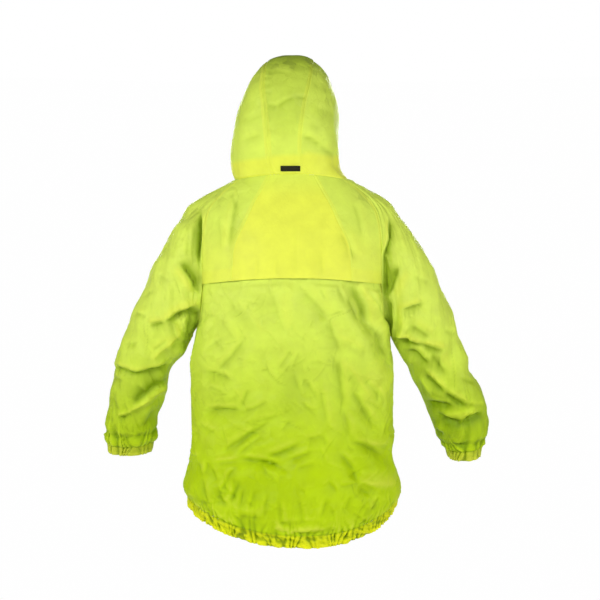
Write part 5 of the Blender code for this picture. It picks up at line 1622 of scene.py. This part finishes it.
def zip_path(fronts, band_foot):
    """Points and normals up the middle of the zip, from the hem's free edge to the hood's end: the
    panels' edges, each with its normal in the plane x = 0."""
    hood, *_ = sampled(hood_surface, (0, HOOD_PANEL_LOOPS), (0, 4), "zip", ())
    edge = np.concatenate([[band_foot], fronts["left"][:, 0], hood[1:, 0]]) * (0, 1, 1)
    run = lengths_along(edge)
    s = np.arange(0, run[-1], ZIP_SPACING)
    edge = interpolated(s, run, edge)
    slope = unit(np.gradient(edge, axis=0))
    normals = np.stack([np.zeros(len(s)), -slope[:, 2], slope[:, 1]], axis=-1)
    return edge, normals, s


def coil_tooth():
    """Points and triangles of one tooth: a rounded bar of TOOTH_SIDES sides across the zip, closed by a
    point at either end."""
    angles = np.arange(TOOTH_SIDES) * 2 * np.pi / TOOTH_SIDES
    shape = [(0.72 * size * math.cos(angle), place, 1.05 * size * math.sin(angle))
             for place, size in TOOTH_RINGS for angle in angles]
    shape += [(0, TOOTH_RINGS[0][0] - 0.15, 0), (0, TOOTH_RINGS[-1][0] + 0.1, 0)]
    triangles, last = [], (len(TOOTH_RINGS) - 1) * TOOTH_SIDES
    for start in range(0, last, TOOTH_SIDES):
        for number in range(TOOTH_SIDES):
            a, b = start + number, start + (number + 1) % TOOTH_SIDES
            triangles += [(a, b, a + TOOTH_SIDES), (b, b + TOOTH_SIDES, a + TOOTH_SIDES)]
    for number in range(TOOTH_SIDES):
        following = (number + 1) % TOOTH_SIDES
        triangles += [(following, number, len(shape) - 2),
                      (last + number, last + following, len(shape) - 1)]
    return np.array(shape), np.array(triangles)


def build_zip(fronts, band):
    """The zip's tapes and its closed coil; the slider, the pull and the bottom box stay as built."""
    edge, normals, s = zip_path(fronts, band["grid"][0, 0])
    top = s[-1] - SLIDER_BELOW_END - SLIDER_POST
    chain = (s > BOX_LENGTH + 0.5) & (s < top)
    edge, normals = edge[chain], normals[chain]
    across = np.linspace(CHAIN_WIDTH / 2 + 0.4, TAPE_EDGE, 8)
    for name, side in (("left", 1), ("right", -1)):
        lines = side * across[::side]
        grid = edge[:, None] + np.stack([lines, 0 * lines, 0 * lines], axis=-1)
        facing = np.repeat(normals[:, None], len(across), axis=1)
        cloth(f"zip_tape_{name}_cloth", grid, facing, {}, np.full(grid.shape[:2], TAPE_OUT),
              f"zip_tape_{name}", wall=TAPE_WALL, material=materials["zip_tape"])

    shape, triangles = coil_tooth()
    line = np.concatenate([edge + normals * -0.5, normals], axis=1)
    rows = []
    for side, start in ((1, 0.0), (-1, TOOTH_PITCH / 2)):
        where, frames = frames_along(line, TOOTH_PITCH, start)
        rows.append(repeated(shape, triangles[:, ::-side], where, frames * np.array([1, side, 1])[:, None]))
    teeth = add_piece("zip_teeth", *merged(rows), materials["zip_teeth"])
    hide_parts("zip_chain")


# Topstitched edges: those sewn in the cloth's thread, and the elastics', in a deeper one.
STITCHED = (
    ("yoke_left", "low"), ("yoke_centre", "low"), ("yoke_right", "low"), ("yoke_left", "left"),
    ("yoke_left", "right"), ("yoke_right", "left"), ("yoke_right", "right"), ("back", "left"),
    ("back", "right"), ("hood_left", "low"), ("hood_centre", "low"), ("hood_right", "low"),
    ("hood_left", "right"), ("hood_centre", "left"), ("hood_centre", "right"), ("face_hem", "low"),
    ("face_hem", "high"), ("hood_left", "left"), ("hood_right", "right"), ("front_left", "left"),
    ("front_right", "right"), ("sleeve_left", "left"), ("sleeve_right", "left"), ("collar", "high"),
)
STITCHED_ELASTICS = (("hem_band", "high"), ("cuff_left", "low"), ("cuff_right", "low"))
TAB_STITCHED_IN = (2.6, 3.4)    # two rows at each end of the tab


def build_stitching(faces):
    """The topstitching along the seams, the yoke's free edge, the hems and the zip."""
    for name, edges, thread in (("stitching", STITCHED, "thread"),
                                ("elastic_stitching", STITCHED_ELASTICS, "deep_thread")):
        lines = [sewn_line(faces[piece], edge, STITCH_IN) for piece, edge in edges]
        stitches(name, lines, materials[thread])
    ends = [sewn_line(faces["neck_tab"], edge, inward) for edge in ("left", "right")
            for inward in TAB_STITCHED_IN]
    stitches("tab_stitching", ends, materials["webbing"])


faces, front_grids, back_grid = build_trunk()
faces.update(build_yoke())
for sleeve_name, sleeve_side in (("left", 1), ("right", -1)):
    made = build_sleeve(sleeve_name, sleeve_side)
    faces[f"sleeve_{sleeve_name}"], faces[f"cuff_{sleeve_name}"] = made
faces["hem_band"] = build_hem_band(front_grids, back_grid)
faces.update(build_hood())
faces["neck_tab"] = build_tab()
build_zip(front_grids, faces["hem_band"])
build_stitching(faces)
for node in ("zip_slider", "zip_pull", "zip_box"):
    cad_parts[node].data.materials.clear()
    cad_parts[node].data.materials.append(materials["zip_metal"])


# ---------------------------------------------------------------- floor, light and camera, in metres

CAMERA = (-0.0176, 3.5, -0.2552)        # level with the middle of the photograph, behind the wearer
PHOTO_WIDTH = 1.32                      # metres across the photograph at the jacket's middle plane
SENSOR = 36.0                           # width of the camera's sensor, in millimetres
FLOOR_HEIGHT = -1.5
FLOOR_FLAT = 2.6                        # radius of its flat part
AROUND = 0.16                           # strength of the even light from all round


def add_floor():
    """A pale floor under the jacket that sweeps up at its rim: height rises with the square of how far
    a point lies beyond the flat part."""
    reach = np.concatenate([[0.01], np.linspace(0.3, 6.0, 40)])
    turn = np.linspace(0, 2 * np.pi, 97)
    rise = 0.22 * np.maximum(reach - FLOOR_FLAT, 0) ** 2
    x, y = reach[:, None] * np.cos(turn), reach[:, None] * np.sin(turn)
    grid = points_of(x, y, FLOOR_HEIGHT + rise[:, None])
    numbers = np.arange(grid.size // 3).reshape(grid.shape[:2])
    mesh = bpy.data.meshes.new("pale_floor")
    mesh.from_pydata(grid.reshape(-1, 3).tolist(), [], quads_of(numbers)[:, (0, 3, 2, 1)].tolist())
    mesh.shade_smooth()
    material, tree, shader, output = new_material("pale_floor")
    feed(tree, shader, {"Base Color": (0.93, 0.93, 0.93, 1), "Roughness": 0.9})
    white = add_node(tree, "ShaderNodeEmission", {"Color": (1, 1, 1, 1), "Strength": 0.995})
    seen = add_node(tree, "ShaderNodeLightPath"), "Is Camera Ray"
    mix = add_node(tree, "ShaderNodeMixShader", {0: seen, 1: (shader, "BSDF"), 2: (white, 0)})
    feed(tree, output, {"Surface": (mix, 0)})
    mesh.materials.append(material)
    floor = placed("pale_floor", mesh)


# Soft square lights. columns: name, place, width, watts
LIGHTS = (
    ("key_left", (1.6, 2.6, 0.9), 0.6, 49),
    ("key_right", (-1.6, 2.8, 0.4), 0.6, 38),
    ("side_left", (2.6, 0.9, 0.0), 0.8, 17),
    ("side_right", (-2.6, 0.9, -0.1), 0.8, 17),
    ("front_left", (0.9, -2.8, 0.5), 1.0, 26),
    ("front_right", (-0.9, -2.8, 0.5), 1.0, 24),
)


def add_light(name, place, size, power_watts):
    """A square soft light at a place, aimed at the middle of the jacket."""
    light = bpy.data.lights.new(name, "AREA")
    light.shape = "SQUARE"
    light.size = size
    light.energy = power_watts
    item = placed(name, light)
    item.location = place
    aim = np.array(CAMERA) * (0, 0, 1) - np.array(place)
    item.rotation_euler = (math.atan2(math.hypot(aim[0], aim[1]), -aim[2]), 0,
                           math.atan2(aim[1], aim[0]) - math.pi / 2)


def add_world():
    """Plain white behind the jacket, and a weaker even light from all round."""
    world = bpy.data.worlds.new("studio")
    bpy.context.scene.world = world
    world.use_nodes = True
    tree = world.node_tree
    around = tree.nodes["Background"]
    feed(tree, around, {"Color": (1, 1, 1, 1), "Strength": AROUND})
    behind = add_node(tree, "ShaderNodeBackground", {"Color": (1, 1, 1, 1), "Strength": 1.0})
    seen = add_node(tree, "ShaderNodeLightPath"), "Is Camera Ray"
    mix = add_node(tree, "ShaderNodeMixShader", {0: seen, 1: (around, 0), 2: (behind, 0)})
    feed(tree, tree.nodes["World Output"], {"Surface": (mix, 0)})


def add_camera():
    """The photograph's viewpoint: the lens takes in PHOTO_WIDTH at the jacket's middle plane."""
    lens = bpy.data.cameras.new("camera")
    lens.sensor_width = SENSOR
    lens.lens = SENSOR * CAMERA[1] / PHOTO_WIDTH
    item = placed("camera", lens)
    item.location = CAMERA
    item.rotation_euler = (math.pi / 2, 0, math.pi)
    bpy.context.scene.camera = item


add_floor()
for light_row in LIGHTS:
    add_light(*light_row)
add_world()
add_camera()
bpy.context.scene.view_settings.view_transform = "Standard"
